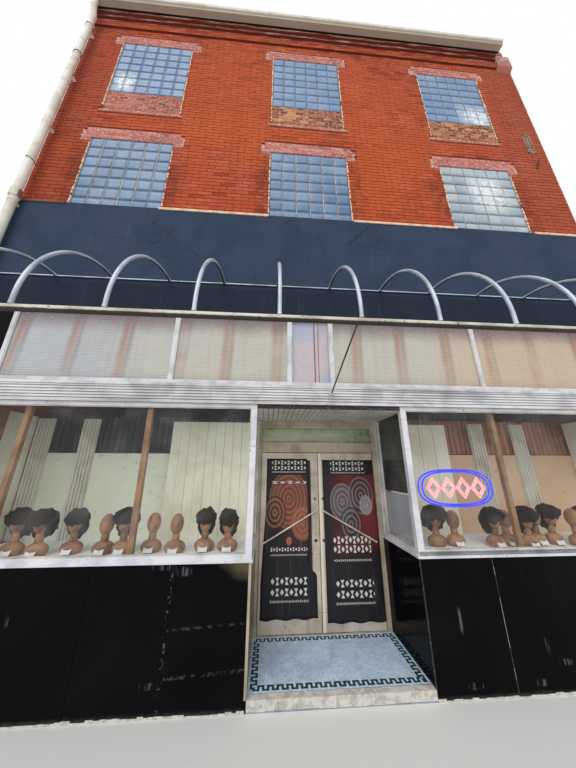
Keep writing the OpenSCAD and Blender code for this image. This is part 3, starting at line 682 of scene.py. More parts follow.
@dataclass(frozen=True)
class PolishedPanel(Finish):
    """Black structural glass with rain streaks, scratches and the marks of old fixings.

    Marked are the left and right of the panel with the marks; scuffs are spots.
    """

    colour: int = 0x0a0a0d
    marked: tuple[float, float] = (-1.517, RECESS_LEFT)
    scuffs: tuple[Area, ...] = (
        (1.823, 0.575, 0.03, 0.12), (1.9, 0.35, 0.03, 0.09), (2.034, 0.222, 0.11, 0.03),
        (1.166, 0.09, 0.09, 0.035), (1.769, 0.09, 0.07, 0.035), (1.112, 0.558, 0.025, 0.13),
        (-1.583, 1.03, 0.17, 0.04), (-2.813, 0.676, 0.03, 0.07), (-1.42, 0.99, 0.1, 0.05),
        (-1.6, 0.2, 0.1, 0.03))
    top: float = 1.05

    def shade(self, g: Graph) -> Socket:
        """Adds streaks all over, and on the marked panel two residue lines and a stain."""
        g.base(g.cloud(0.9, 3).above(0.45, 0.7), self.colour, 0x111115)
        rain = g.cloud(0.02, 3, (6, 6, 1), run=Run.Z).above(0.66, 0.82)
        upper = g.z.above(self.top - 0.65, self.top)
        g.lay(rain * (0.04 + upper * 0.1), 0x6e6e72)
        low, high = self.marked
        front = STREET_FACE + 0.01
        here = (g.x > low) * (g.x < high) * (g.y < front)
        torn = g.cloud(0.03, 5, (2, 2, 2), warp=1)
        tilt = (g.x - low) * 0.05
        for level, reach in ((0.56, 0.016), (0.24, 0.02)):
            line = (g.z - tilt).near(level, reach) * torn.above(0.5, 0.6) * here
            g.lay(line * 0.4, 0x68625c)
        corner = (g.z + (g.x - high) * 0.45 + g.cloud(0.2, 3) * 0.14).above(self.top - 0.12, self.top + 0.03)
        g.lay(corner * here * 0.8, 0x6a604a)
        edge = g.x.near(low, 0.02) * torn.above(0.56, 0.64) * (g.y < front)
        g.lay(edge * 0.45, 0x8c8c8e)
        rubbed = g.cloud(0.02, 5, (2, 5, 2), run=Run.Z, warp=1).above(0.5, 0.64) * (g.y < front)
        for area in self.scuffs:
            g.lay((g.spot(*area) * 2.4).above(0.0, 1.0) * rubbed * 0.5, 0x7c7e7e)
        specks = g.cloud(0.006, 2, (8, 3, 3)).above(0.75, 0.78)
        g.lay(specks * 0.4, 0x828282)
        runs = g.cloud(0.012, 2, (1, 6, 4), run=Run.Z).above(0.72, 0.8)
        g.lay(runs * 0.16, 0x606260)
        foot = (g.z + torn * 0.05).under(0.02, 0.07)
        g.lay(foot * 0.5, 0x5c544e)
        rough = 0.1 + rain * 0.2 + corner * here * 0.5 + foot * 0.4 + g.cloud(0.3, 3) * 0.06
        return g.surface(rough, g.bump(g.cloud(0.5, 1), 0.0012), specular=0.05)


@dataclass(frozen=True)
class Brushed(Finish):
    """Anodised or mill metal with a drawn grain, tarnish and dull spots.

    Bright is a strip in x with its colour; under is the colour of painted shade on faces that look down, and
    turn says how far down they look where it starts and where it is full.
    """

    colour: int
    second: int
    run: Run = Run.Z
    metallic: float = 0.6
    rough: float = 0.42
    chips: float = 0.0
    chip: int = 0x5a544e
    under: int | None = None
    turn: tuple[float, float] = (0.3, 0.7)
    bright: tuple[float, float, int] | None = None

    def shade(self, g: Graph) -> Socket:
        """Draws the grain along the run and lets patches of it tarnish."""
        drawn = g.cloud(0.01, 3, run=self.run)
        patch = g.cloud(0.25, 5, (1, 6, 2)).above(0.4, 0.68)
        g.base(patch, self.colour, self.second)
        g.tone(0.88 + drawn * 0.24)
        grime = g.cloud(0.06, 5, (2, 2, 7), run=self.run).above(0.58, 0.78)
        g.lay(grime * 0.35, 0x544e46)
        if self.chips:
            bar = 0.72 - self.chips * 0.2
            bare = g.cloud(0.03, 5, (4, 1, 1), warp=1).above(bar, bar + 0.03)
            g.lay(bare * 0.8, self.chip)
            grime = grime + bare * 0.5
        if self.bright is not None:
            low, high, tint = self.bright
            worn = (g.x + (g.cloud(0.05, 4, run=Run.Z) - 0.5) * 0.02).between(low, high)
            g.lay(worn * 0.9, tint)
        # Painted shade on faces that look down.
        if self.under is not None:
            down = (0.0 - g.up + (g.cloud(0.04, 4) - 0.5) * 0.3).above(*self.turn)
            g.lay(down * 0.95, self.under)
        normal = g.bump(drawn, 0.0003)
        return g.surface(self.rough + grime * 0.25, normal, self.metallic, specular=0.35)


@dataclass(frozen=True)
class DisplayBoard(Finish):
    """Painted boards behind the shop windows: greenish left, tan right, and a pale deck."""

    left: int = 0xf0f2de
    right: int = 0xe6c0a0
    deck: int = 0xf2f7fc
    deck_top: float = DECK + 0.0002

    def shade(self, g: Graph) -> Socket:
        """Chooses the colour by side and level, with soft stains and scuffs."""
        g.base(g.x > 0.0, self.left, self.right)
        g.tone(0.88 + g.cloud(0.7, 4, warp=0.5) * 0.24)
        g.lay(g.z.under(self.deck_top, self.deck_top + 0.0006), self.deck)
        scuff = g.cloud(0.06, 5, (2, 4, 1)).above(0.6, 0.72)
        g.lay(scuff * 0.3, 0x78746c)
        return g.surface(0.65, g.bump(g.cloud(0.01, 3), 0.0005))


@dataclass(frozen=True)
class Poster(Finish):
    """Printed sheet with a plain geometric design: arcs, discs and rows of diamonds.

    Rows are given as level, height and pitch; discs as x, z, radius and colour.
    """

    field: int
    glow: int
    left: float
    right: float
    low: float
    foot: float = 0.7
    crown: float = 1.79
    ground: int = 0x242226
    pale: int = 0xe2e0dc
    rows: tuple[tuple[float, float, float], ...] = ()
    discs: tuple[tuple[float, float, float, int], ...] = ()

    def _marks(self, g: Graph, level: float, tall: float, pitch: float) -> Signal:
        """Row of diamonds and hourglasses, kept off the sheet's edges.

        Args:
            g: Graph of the sheet's material.
            level: Middle of the row.
            tall: Its height.
            pitch: Width of one mark.

        Returns:
            1 on a mark, else 0.
        """
        cell = (g.x - self.left) / pitch
        spot = abs(cell.repeat(1.0) - 0.5)
        height = abs(g.z - level) / tall
        diamond = (spot + height) < 0.42
        hourglass = (spot < (height * 0.8 + 0.04)) * (height < 0.5) * (spot < 0.36)
        second = cell.repeat(2.0) > 1.0
        inside = (g.x > self.left + 0.11) * (g.x < self.right - 0.11)
        return (diamond * (1.0 - second) + hourglass * second) * inside

    def shade(self, g: Graph) -> Socket:
        """Lays field, arcs, discs and rows over the dark ground, then painted shade and light over the folds,
        and dust.
        """
        middle = g.z.between(self.foot, self.crown)
        drift = g.cloud(0.25, 3)
        across = (g.x - self.left + drift * 0.2).above(0.12, 0.42)
        across = across * (g.z + drift * 0.3).above(self.foot + 0.2, 1.35)
        g.base(middle * across, self.ground, self.field)
        for x, z, radius, tint in self.discs:
            dx, dz = g.x - x, (g.z - z) * 0.72
            reach = (dx * dx + dz * dz).root()
            disc = reach.under(radius * 0.93, radius) * middle
            arcs = (reach * 22.0).repeat(1.0).near(0.5, 0.42)
            shaded = g.mix(arcs * 0.45, tint, self.glow)
            g.lay(disc * 0.7, shaded)
        for level, tall, pitch in self.rows:
            g.lay(self._marks(g, level, tall, pitch) * 0.92, self.pale)
        crease = g.cloud(0.12, 4, (3, 3, 3))
        # Painted shade and light over the folds.
        g.tone(0.86 + crease * 0.28)
        fade = g.cloud(0.05, 4, (1, 1, 4), run=Run.Z).above(0.55, 0.8)
        g.lay(fade * 0.16, 0x968c86)
        return g.surface(0.42, g.bump(crease, 0.006), specular=0.25)


@dataclass(frozen=True)
class Glow(Finish):
    """Lit glass tube."""

    colour: int
    paler: int
    strength: float = 0.9

    def shade(self, g: Graph) -> Socket:
        """Gives off light with a slight unevenness along the tube."""
        uneven = g.mix(g.cloud(0.05, 2).above(0.3, 0.7) * 0.35, self.colour, self.paler)
        made = g.node("ShaderNodeBsdfPrincipled", {}, {"Base Color": uneven, "Roughness": 0.25,
                                                       "Emission Color": uneven,
                                                       "Emission Strength": self.strength})
        return made.outputs[0]


# Finishes of the building, in colours as they are seen
WALL_BRICK = FaceBrick("wall_brick", 0xb85234, 0x803628, 0xca6846, dark_share=0.12, contrast=0.5)
LINTEL_BRICK = FaceBrick(
    "lintel_brick", 0xb86a62, 0x96504a, 0xd49288, dusty=0.6, dust=0xe6c4bc, dark_share=0.16, contrast=0.55)
MAUVE_BRICK = FaceBrick(
    "mauve_brick", 0xaa5c52, 0x80423c, 0xcc8e84, dusty=0.4, dust=0xd8b2a2, dark_share=0.16, contrast=0.6)
INFILL_BRICK = FaceBrick(
    "infill_brick", 0x9a5842, 0x70402e, 0xd69e6c, dusty=0.3, dust=0xe6c8a0, dark_share=0.3, contrast=0.75)
PALE_JOINT = Weathered(
    "pale_joint", 0xcc9c8c, 0xa66858, fleck=0x8a5244, mottle=0.06, flecks=0.5, rough=0.92, depth=0.002,
    specular=0.15)
CREAM_MORTAR = Weathered(
    "cream_mortar", 0xecd6ba, 0xd2b092, fleck=0xa0745c, mottle=0.05, per_piece=0.14, rough=0.9, depth=0.002,
    specular=0.15)
SILL_STONE = Weathered(
    "sill_stone", 0xb05842, 0xc68470, fleck=0xecceba, stain=0x783e30, mottle=0.05, flecks=0.62, rough=0.9,
    depth=0.002, specular=0.15)
BLOCK_JOINT = Weathered(
    "block_joint", 0x787c84, 0x686668, fleck=0x504842, mottle=0.12, flecks=0.4, rough=0.9, depth=0.0015,
    specular=0.15)
# Upright pointing of the middle and top rows: its tone differs strip by strip, partly at random and partly as
# painted glints on some joints.
UPRIGHT_POINTING = Weathered(
    "upright_pointing", 0xbeb0a2, 0x9e8c7a, fleck=0x6e5e52, mottle=0.12, flecks=0.42, per_piece=0.28,
    rough=0.85, depth=0.0015, specular=0.15)
COOL_POINTING = Weathered(
    "cool_pointing", 0x8692a2, 0x707a88, fleck=0x545862, mottle=0.12, flecks=0.42, per_piece=0.3,
    rough=0.85, depth=0.0015, specular=0.15)
# Level pointing: the joint mortar painted darker as the shade in the level joints.
SHADED_LEVEL_POINTING = Weathered(
    "shaded_level_pointing", 0x68686e, 0x685e58, fleck=0x54463c, mottle=0.1, flecks=0.4, rough=0.9, depth=0.0015,
    specular=0.15)
COMMON_BRICK = (0x9e543e, 0x844636, 0x8c7668)
SIDE_BRICK = CoursedBrick("side_brick", *COMMON_BRICK, coping=0xa8a49a, coping_line=(11.8275, 0.2533))
# Street wall: under is painted shade on faces that look down, as under the cornice's steps.
STREET_WALL = CoursedBrick("street_wall_brick", *COMMON_BRICK, under=0x622c22, bed=0x7a3426)
YARD_WALL = CoursedBrick("yard_wall_brick", *COMMON_BRICK, bed=0x623226)
CEMENT = Weathered(
    "cement_render", 0xbe9c96, 0xa47e78, fleck=0x765852, stain=0x72544e, mottle=0.12, flecks=0.4,
    stains=0.35, rough=0.92, grain=0.012, depth=0.004, specular=0.15, band=(9.7, 9.86, 0xb06e60))
FILLET_CEMENT = Weathered(
    "fillet_cement", 0xf0d0b6, 0xd8b096, fleck=0x825c4c, mottle=0.06, flecks=0.42, rough=0.9, grain=0.01,
    depth=0.003, specular=0.15, beyond=(-3.3, -1.0, 0x70342a))
NAVY_STUCCO = Stucco("navy_stucco")
MIDDLE_GLASS = BlockGlass("block_glass_middle", 0x708dad, 0x506e92, 5.2316, 0.14)
TOP_GLASS = BlockGlass(
    "block_glass_top", 0x7893b8, 0x5c7ca6, 7.8266, 0.14,
    glints=((3.02, 8.05, 0.5, 0.42), (-3.25, 8.1, 0.25, 0.35)))
PALE_GLASS = BlockGlass(
    "block_glass_pale", 0xb8c4ca, 0x8c9eac, 5.2316, 0.32, glints=((2.75, 6.1, 0.5, 0.6),))
PLATE_GLASS = ClearGlass("plate_glass")
RIBBED_GLASS = RibbedGlass("ribbed_glass")
VENT_GLASS = Weathered(
    "vent_glass", 0xcebec6, 0xb2b8d0, fleck=0xbeaab2, stain=0xb49292, mottle=0.3, flecks=0.05, stains=0.15,
    rough=0.25, depth=0.0002)
BLIND_EDGE = Weathered("blind_edge", 0x9c4a3e, 0x803c36, mottle=0.2, rough=0.6)
BLACK_PANEL = PolishedPanel("black_panel")
GUTTER_PAINT = Weathered(
    "gutter_paint", 0xded8ce, 0xcec4b4, fleck=0x8c7460, stain=0xa8947c, mottle=0.3, flecks=0.28,
    stains=0.35, rough=0.6, depth=0.0004, band=(10.055, 10.085, 0xa29684))
SPOUT_PAINT = Weathered(
    "spout_paint", 0xe8e4da, 0xd4ccbe, fleck=0x8c7662, stain=0x7a6856, mottle=0.25, flecks=0.3, stains=0.35,
    rough=0.5, depth=0.0005, beyond=(-3.971, 1.0, 0x70483c))
# Roof metal: under is painted shade on faces that look down.
ROOF_METAL = Weathered(
    "roof_metal", 0x787c7e, 0x707375, fleck=0x886046, stain=0x7e5840, run=Run.Y, mottle=0.8, flecks=0.3,
    stains=0.4, rough=0.5, metallic=0.35, under=0x1e1612)
# Awning metals: under is painted shade on faces that look down.
GALVANISED = Brushed(
    "galvanised_tube", 0xc4d0dc, 0xa0aab6, Run.Z, 0.3, 0.45, 0.28, 0x60544a, under=0x403c3c,
    turn=(0.42, 0.72))
WALL_BAR = Brushed(
    "wall_bar_metal", 0xc4ccd6, 0x96989e, Run.X, 0.3, 0.45, 0.45, 0x60544a, under=0x1e1e24,
    turn=(0.55, 0.8))
BAR_STEEL = Brushed(
    "bar_steel", 0xd6d0c2, 0xb0a694, Run.X, 0.15, 0.6, 0.45, 0x463a30, under=0x28201c, turn=(0.2, 0.46))
WHITE_PAINT = Weathered(
    "white_paint", 0xdedee0, 0xc4c4c8, fleck=0x786e68, stain=0x88827e, mottle=0.25, flecks=0.36,
    stains=0.28, rough=0.6, grain=0.01, depth=0.001)
# Band paint: under is painted shade on the faces of the reeds that look down.
BAND_PAINT = Weathered(
    "band_paint", 0xe4e4e6, 0xc4c4ca, fleck=0x968a7e, stain=0x706c6e, run=Run.X, mottle=0.3, flecks=0.34,
    stains=0.75, rough=0.6, grain=0.01, depth=0.001, under=0x847c76)
FRAME_METAL = Brushed("frame_metal", 0xe4e4ea, 0xc8cad2, Run.X, 0.1, 0.4, 0.25)
SILL_METAL = Brushed("sill_metal", 0x8e8e92, 0x68686c, Run.X, 0.2, 0.5, 0.5, 0x34302e)
BEAD_METAL = Brushed("bead_metal", 0xcec4b2, 0xa69c8a, Run.X, 0.25, 0.45)
CHAMPAGNE = Brushed("champagne_metal", 0xbeb29c, 0xa2947e, Run.Z, 0.15, 0.45, 0.35, 0x6c5c48)
DOOR_METAL = Brushed(
    "door_metal", 0xd4c9ba, 0xb8ac9a, Run.Z, 0.12, 0.45, 0.3, 0x766450, bright=(-0.006, 0.03, 0xf4ead6))
BAR_METAL = Brushed("push_bar_metal", 0xe2dace, 0xbeb4a4, Run.X, 0.4, 0.35)
CEILING_PAINT = Weathered(
    "ceiling_paint", 0xceccc8, 0xb6b3b0, fleck=0x5a5450, mottle=0.3, run=Run.Y, flecks=0.3, stains=0.3)
STEEL_BEAM = Weathered("steel_beam_paint", 0x5c5654, 0x4a423e, rough=0.6)
CONCRETE = Weathered("concrete", 0x96948e, 0x7e7c76, mottle=0.3, rough=0.9, depth=0.002)
FLOOR_BOARDS = Weathered("floor_timber", 0x967452, 0x7c5c40, run=Run.Y, rough=0.6)
DISPLAY_BOARD = DisplayBoard("display_boards")
SCREEN_CREAM = Weathered(
    "screen_cream", 0xfaf6e2, 0xece7ce, fleck=0xaaa082, mottle=0.4, flecks=0.1, stains=0.15)
CORE_BOARD = Weathered("core_board", 0x5c5854, 0x4e4a46, rough=0.85)
TILE_PALE = Weathered(
    "tile_pale", 0xcce0f4, 0xb8d0e6, fleck=0x828c94, mottle=0.2, flecks=0.15, per_piece=0.12, rough=0.4,
    depth=0.0003)
TILE_GREEN = Weathered("tile_green", 0x1e3a3e, 0x182c32, mottle=0.2, per_piece=0.25, rough=0.4)
GROUT = Weathered("tile_grout", 0x96a0aa, 0x7e868e, mottle=0.1, rough=0.9)
THRESHOLD = Weathered(
    "threshold_cement", 0xd8d4cc, 0xbab6ae, fleck=0x6e6862, mottle=0.06, flecks=0.4, rough=0.85, grain=0.01,
    depth=0.002)
SLAT = Weathered("dark_slat", 0x363438, 0x262428, mottle=0.5, per_piece=0.3, rough=0.75)
SLAT_WARM = Weathered("warm_slat", 0xb27654, 0x86563e, mottle=0.5, per_piece=0.2, rough=0.75)
POST_PALE = Weathered("fluted_post", 0xe4dfd2, 0xcec7b8, mottle=0.4, rough=0.6)
POST_TIMBER = Weathered("timber_post", 0xa47a5a, 0x8a6246, mottle=0.2, rough=0.6)
OLD_IRON = Weathered(
    "old_iron", 0x3a3634, 0x584a42, fleck=0xbebab2, mottle=0.03, flecks=0.4, rough=0.8, metallic=0.3,
    depth=0.001)
PALE_IRON = Weathered(
    "pale_iron", 0xb0988c, 0x80685e, fleck=0x463630, mottle=0.04, flecks=0.5, rough=0.8, depth=0.001)
DOOR_FILM = Weathered(
    "over_door_film", 0xa6af88, 0x7a8a66, fleck=0x3c4232, stain=0xceceb2, run=Run.X, mottle=0.12,
    flecks=0.1, stains=0.9, rough=0.3, depth=0.0002)
FORM_TAN = Weathered(
    "display_form", 0xa87a5c, 0x7c5640, fleck=0x684836, mottle=0.1, flecks=0.15, per_piece=0.18, rough=0.55)
HAIR_DARK = Weathered(
    "display_hair", 0x221815, 0x18110f, fleck=0x543a2a, mottle=0.05, flecks=0.3, stains=0.3, per_piece=0.5,
    rough=0.6, depth=0.002, specular=0.08)
CARD_WHITE = Weathered("price_card", 0xe8eaee, 0xd8dce4, fleck=0x6e7896, mottle=0.05)
NEON_BLUE = Glow("lit_tube_blue", 0x1e28d6, 0x4650fe)
NEON_PINK = Glow("lit_tube_pink", 0xf696a0, 0xffbec8)
SIGN_BOARD = Weathered("sign_backing", 0xbabec8, 0xa0a4b0, rough=0.3)

NODE_FINISHES: tuple[tuple[Finish, str], ...] = (
    (SIDE_BRICK, "left_party_wall right_party_wall"), (YARD_WALL, "back_wall"),
    (STREET_WALL, "front_wall shopfront_piers front_cornice"), (STEEL_BEAM, "shopfront_beam"),
    (PALE_JOINT, "front_lintels front_window_infill"), (CEMENT, "cornice_end_patch"),
    (GUTTER_PAINT, "front_gutter back_gutter"), (SPOUT_PAINT, "downspout"),
    (ROOF_METAL, "front_roof_slope back_roof_slope"), (CONCRETE, "ground_floor"),
    (FLOOR_BOARDS, "first_floor second_floor"),
    (BLOCK_JOINT, "middle_glass_blocks top_glass_blocks back_glass_blocks"), (NAVY_STUCCO, "fascia_panel"),
    (FILLET_CEMENT, "fascia_trim"), (WALL_BAR, "awning_wall_bar"), (BAR_STEEL, "awning_front_bar"),
    (GALVANISED, "awning_bows"), (WHITE_PAINT, "transom_frame"), (RIBBED_GLASS, "transom_ribbed_glass"),
    (BAND_PAINT, "shopfront_band"), (FRAME_METAL, "left_window_frame right_window_frame"),
    (PLATE_GLASS, "shop_window_glass left_door_glass right_door_glass"),
    (CORE_BOARD, "left_bulkhead right_bulkhead"), (BLACK_PANEL, "bulkhead_panels"),
    (DISPLAY_BOARD, "display_cases"), (OLD_IRON, "recess_ceiling"), (GROUT, "recess_floor"),
    (CHAMPAGNE, "door_frame"), (DOOR_METAL, "left_door right_door"),
    (BAR_METAL, "left_door_bar right_door_bar"),
)


class Draft:
    """Mesh in the making: points and faces, added form by form."""

    def __init__(self, *boxes: tuple[Point, Point]) -> None:
        """Starts with the boxes that are given by their corners, or empty."""
        self.points: list[tuple[float, float, float]] = []
        self.faces: list[tuple[int, ...]] = []
        for low, high in boxes:
            self.box(low, high)

    def add(self, points: Iterable[Point], faces: Iterable[Sequence[int]]) -> None:
        """Adds a form whose faces count from its own first point."""
        start = len(self.points)
        self.points.extend(tuple(p) for p in points)
        self.faces.extend(tuple(start + n for n in f) for f in faces)

    def box(self, low: Point, high: Point) -> None:
        """Adds a box by two corners."""
        (x0, y0, z0), (x1, y1, z1) = low, high
        outline = ((x0, y0), (x1, y0), (x1, y1), (x0, y1))
        self.add([(x, y, z) for z in (z0, z1) for x, y in outline], BOX_FACES)

    def frame(self, opening: Area, y0: float, y1: float, wide: float) -> None:
        """Adds four bars inside an opening that faces the street.

        Args:
            opening: Left, right, low and high of the bars' outer edge.
            y0: Their street face.
            y1: Their back.
            wide: Width of each bar.
        """
        left, right, low, high = opening
        for x0, x1, z0, z1 in ((left, left + wide, low, high), (right - wide, right, low, high),
                               (left + wide, right - wide, low, low + wide),
                               (left + wide, right - wide, high - wide, high)):
            self.box((x0, y0, z0), (x1, y1, z1))

    def grid(self, columns: int, rows: int, place: Callable[[float, float], Point], back: float) -> None:
        """Adds a closed pad whose front follows a function.

        Args:
            columns: Faces across.
            rows: Faces up.
            place: Gives the front's point at two shares from 0 to 1.
            back: Level in y of its flat back.
        """
        front = [place(c / columns, r / rows) for r in range(rows + 1) for c in range(columns + 1)]
        wide = columns + 1
        faces = [(r * wide + c, r * wide + c + 1, (r + 1) * wide + c + 1, (r + 1) * wide + c)
                 for r in range(rows) for c in range(columns)]
        rim = ([c for c in range(columns)] + [r * wide + columns for r in range(rows)]
               + [rows * wide + c for c in range(columns, 0, -1)] + [r * wide for r in range(rows, 0, -1)])
        behind = [(front[n][0], back, front[n][2]) for n in rim]
        base = len(front)
        count = len(rim)
        for n in range(count):
            nxt = (n + 1) % count
            faces.append((rim[nxt], rim[n], base + n, base + nxt))
        faces.append(tuple(base + n for n in reversed(range(count))))
        self.add(front + behind, faces)

    def tube(self, path: Sequence[Point], radius: float, sides: int = 10, closed: bool = False) -> None:
        """Adds a round tube along a path.

        Args:
            path: Points of its middle line.
            radius: Its radius.
            sides: Faces round it.
            closed: True joins the last point to the first.
        """
        spots = [Vector(p) for p in path]
        count = len(spots)
        rings: list[tuple[float, float, float]] = []
        side = Vector((0.0, 0.0, 1.0))
        for n, spot in enumerate(spots):
            before = spots[(n - 1) % count] if closed or n else spot
            after = spots[(n + 1) % count] if closed or n < count - 1 else spot
            ahead = (after - before).normalized()
            side = side - ahead * side.dot(ahead)
            if side.length < 1e-4:
                side = ahead.orthogonal()
            side.normalize()
            across = ahead.cross(side)
            rings.extend(tuple(spot + (side * math.cos(a) + across * math.sin(a)) * radius)
                         for a in (math.tau * k / sides for k in range(sides)))
        last = count if closed else count - 1
        faces: list[tuple[int, ...]] = []
        for n in range(last):
            a, b = n * sides, ((n + 1) % count) * sides
            faces += [(a + k, a + (k + 1) % sides, b + (k + 1) % sides, b + k) for k in range(sides)]
        if not closed:
            faces.append(tuple(reversed(range(sides))))
            faces.append(tuple((count - 1) * sides + k for k in range(sides)))
        self.add(rings, faces)

    def egg(self, centre: Point, radii: Point, crumple: float = 0.0, rows: int = 10, sides: int = 16) -> None:
        """Adds a rounded lump.

        Args:
            centre: Its middle.
            radii: Half its size in x, y and z.
            crumple: Share of its radius by which its surface wanders.
            rows: Faces from top to bottom.
            sides: Faces round it.
        """
        points: list[Point] = []
        for r in range(rows + 1):
            lift = math.pi * r / rows
            for k in range(sides if 0 < r < rows else 1):
                turn = math.tau * k / sides
                wide = math.sin(lift)
                spot = Vector((wide * math.cos(turn), wide * math.sin(turn), math.cos(lift)))
                grow = 1.0 + crumple * noise.noise(spot * 2.6 + Vector(centre) * 7.0)
                points.append(tuple(c + s * q * grow for c, s, q in zip(centre, spot, radii)))
        ring = [[0]] + [[1 + (r - 1) * sides + k for k in range(sides)] for r in range(1, rows)]
        ring.append([len(points) - 1])
        faces: list[tuple[int, ...]] = []
        for r in range(rows):
            for k in range(sides):
                a, b = ring[r], ring[r + 1]
                corner = [a[k % len(a)], b[k % len(b)], b[(k + 1) % len(b)], a[(k + 1) % len(a)]]
                faces.append(tuple(dict.fromkeys(corner)))
        self.add(points, faces)

    def disc(self, centre: Point, radius: float, thick: float, sides: int = 20) -> None:
        """Adds a round plate that faces the street, its back at the centre's y."""
        self.tube([centre, (centre[0], centre[1] - thick, centre[2])], radius, sides)

    def piece(self, name: str, finish: Finish, slot: str, body: str = SHOP, bevel: float = 0.0,
              smooth: bool = False) -> bpy.types.Object:
        """Makes the object and fastens it to its body.

        Args:
            name: Name of the piece.
            finish: Finish that it wears.
            slot: Material slot of the record that it belongs to; not used.
            body: Body that it rides on.
            bevel: Width of its rounded edges, 0 for none.
            smooth: True shades it smooth.

        Returns:
            The finished object.
        """
        mesh = bpy.data.meshes.new(name)
        mesh.from_pydata(self.points, [], self.faces)
        mesh.update()
        made = bpy.data.objects.new(name, mesh)
        bpy.context.scene.collection.objects.link(made)
        mesh.materials.append(finish.material())
        if smooth:
            mesh.shade_smooth()
        if bevel:
            rounding = made.modifiers.new("edges", "BEVEL")
            rounding.width = bevel
            rounding.segments = 2
            rounding.limit_method = "ANGLE"
        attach(made, body)
        LOG.info("%s: %d points, %d faces, on %s", name, len(self.points), len(self.faces), body)
        return made


def strips(start: float, end: float, count: int) -> list[tuple[float, float]]:
    """Ends of equal strips side by side between two places."""
    wide = end - start
    return [(start + wide * n / count, start + wide * (n + 1) / count) for n in range(count)]


def uneven(start: float, end: float, shortest: float, longest: float, least: float,
           pick: random.Random) -> Iterator[tuple[float, float]]:
    """Ends of uneven lengths side by side.

    Args:
        start: Place where the first begins.
        end: Place where the last ends.
        shortest: Least length.
        longest: Greatest length.
        least: Rest that gets no length of its own.
        pick: Source of the random lengths.

    Returns:
        The two ends of one length after the other, each drawn when it is asked for.
    """
    while start < end - least:
        step = min(pick.uniform(shortest, longest), end - start)
        yield start, start + step
        start += step


def circle(x: float, y: float, z: float, radius: float, tilt: float = 0.0) -> list[Point]:
    """Closed path of 29 points round an upright axis, tilted towards +X by a height."""
    turns = [math.tau * n / 28 for n in range(29)]
    return [(x + radius * math.cos(a), y + radius * math.sin(a), z + tilt * math.cos(a)) for a in turns]


@dataclass(frozen=True)
class Window:
    """Opening in the brick front, filled with glass blocks."""

    middle: float
    head: float
    infill: float = 0.0
    width: float = 1.2192
    height: float = 1.4224

    @property
    def left(self) -> float:
        """Left side of the opening."""
        return self.middle - self.width / 2

    @property
    def right(self) -> float:
        """Right side of the opening."""
        return self.middle + self.width / 2

    @property
    def foot(self) -> float:
        """Lowest row of blocks."""
        return self.head - self.height

    @property
    def sill(self) -> float:
        """Level of the opening's foot, under its infill."""
        return self.foot - self.infill

    @property
    def hole(self) -> Area:
        """Opening with its infill, as left, right, low and high."""
        return self.left, self.right, self.sill, self.head

    @property
    def blocks(self) -> tuple[int, int]:
        """Count of glass blocks across and up."""
        return round(self.width / BLOCK_PITCH), round(self.height / BLOCK_PITCH)


MIDDLES = (-2.860, -0.149, 2.633)
MIDDLE_ROW = tuple(Window(x, 6.654) for x in MIDDLES)
TOP_ROW = tuple(Window(x, 9.249, 0.5) for x in MIDDLES)


@dataclass
class Bond:
    """Running bond that lays real bricks on a wall face."""

    length: float = BRICK_LENGTH
    course: float = COURSE
    joint: float = BRICK_JOINT
    proud: float = 0.005
    sunk: float = 0.003
    wander: float = 0.001
    shortest: float = 0.025
    random: random.Random = field(default_factory=lambda: random.Random(SEED))

    def lay(self, draft: Draft, area: Area, face: float, facing: Facing = Facing.STREET,
            holes: Sequence[Area] = ()) -> None:
        """Lays the courses of one area.

        Args:
            draft: Mesh that takes the bricks.
            area: Left, right, low and high of the face.
            face: The wall face's y.
            facing: Side that the face looks towards.
            holes: Areas left free, as left, right, low and high.
        """
        x0, x1, z0, z1 = area
        first = math.floor(z0 / self.course + 1e-6)
        for row in range(first, math.ceil(z1 / self.course)):
            low = max(z0, row * self.course + self.joint / 2)
            high = min(z1, (row + 1) * self.course - self.joint / 2)
            if high - low < self.course * 0.3:
                continue
            free = [(x0, x1)]
            for a, b, c, d in holes:
                if c < high and d > low:
                    free = [part for s, e in free for part in ((s, min(e, a)), (max(s, b), e))
                            if part[1] - part[0] > self.shortest]
            for start, end in free:
                self._course(draft, start, end, low, high, row, face, facing)

    def lay_from(self, base: float, draft: Draft, areas: Sequence[Area], face: float) -> None:
        """Lays street areas in courses that are counted from a level of their own.

        Args:
            base: Level that a course starts at.
            draft: Mesh that takes the bricks.
            areas: Areas of the face, each as left, right, low and high.
            face: The wall face's y.
        """
        lift = base % self.course
        part = Draft()
        for left, right, low, high in areas:
            self.lay(part, (left, right, low - lift, high - lift), face)
        draft.add([(x, y, z + lift) for x, y, z in part.points], part.faces)

    def _course(self, draft: Draft, start: float, end: float, low: float, high: float, row: int, face: float,
                facing: Facing) -> None:
        """Lays one course.

        Args:
            draft: Mesh that takes the bricks.
            start: Left end in x.
            end: Right end in x.
            low: Underside of its bricks.
            high: Their top.
            row: Its number from the ground, which says how it is shifted.
            face: The wall face's y.
            facing: Side that the face looks towards.
        """
        pitch = self.length + self.joint
        shift = pitch / 2 if row % 2 else 0.0
        n = math.floor((start - shift) / pitch)
        while n * pitch + shift < end:
            left = max(start, n * pitch + shift + self.joint / 2)
            right = min(end, (n + 1) * pitch + shift - self.joint / 2)
            n += 1
            if right - left < self.shortest:
                continue
            out = self.proud + self.random.uniform(-1, 1) * self.wander
            tip, tail = self.random.uniform(-1, 1) * 0.0008, self.random.uniform(-1, 1) * 0.0008
            near, far = sorted((face + facing.value * out, face - facing.value * self.sunk))
            draft.box((max(start, left + tip), near, max(0.0, low + tail)),
                      (min(end, right + tip), far, high + tail))


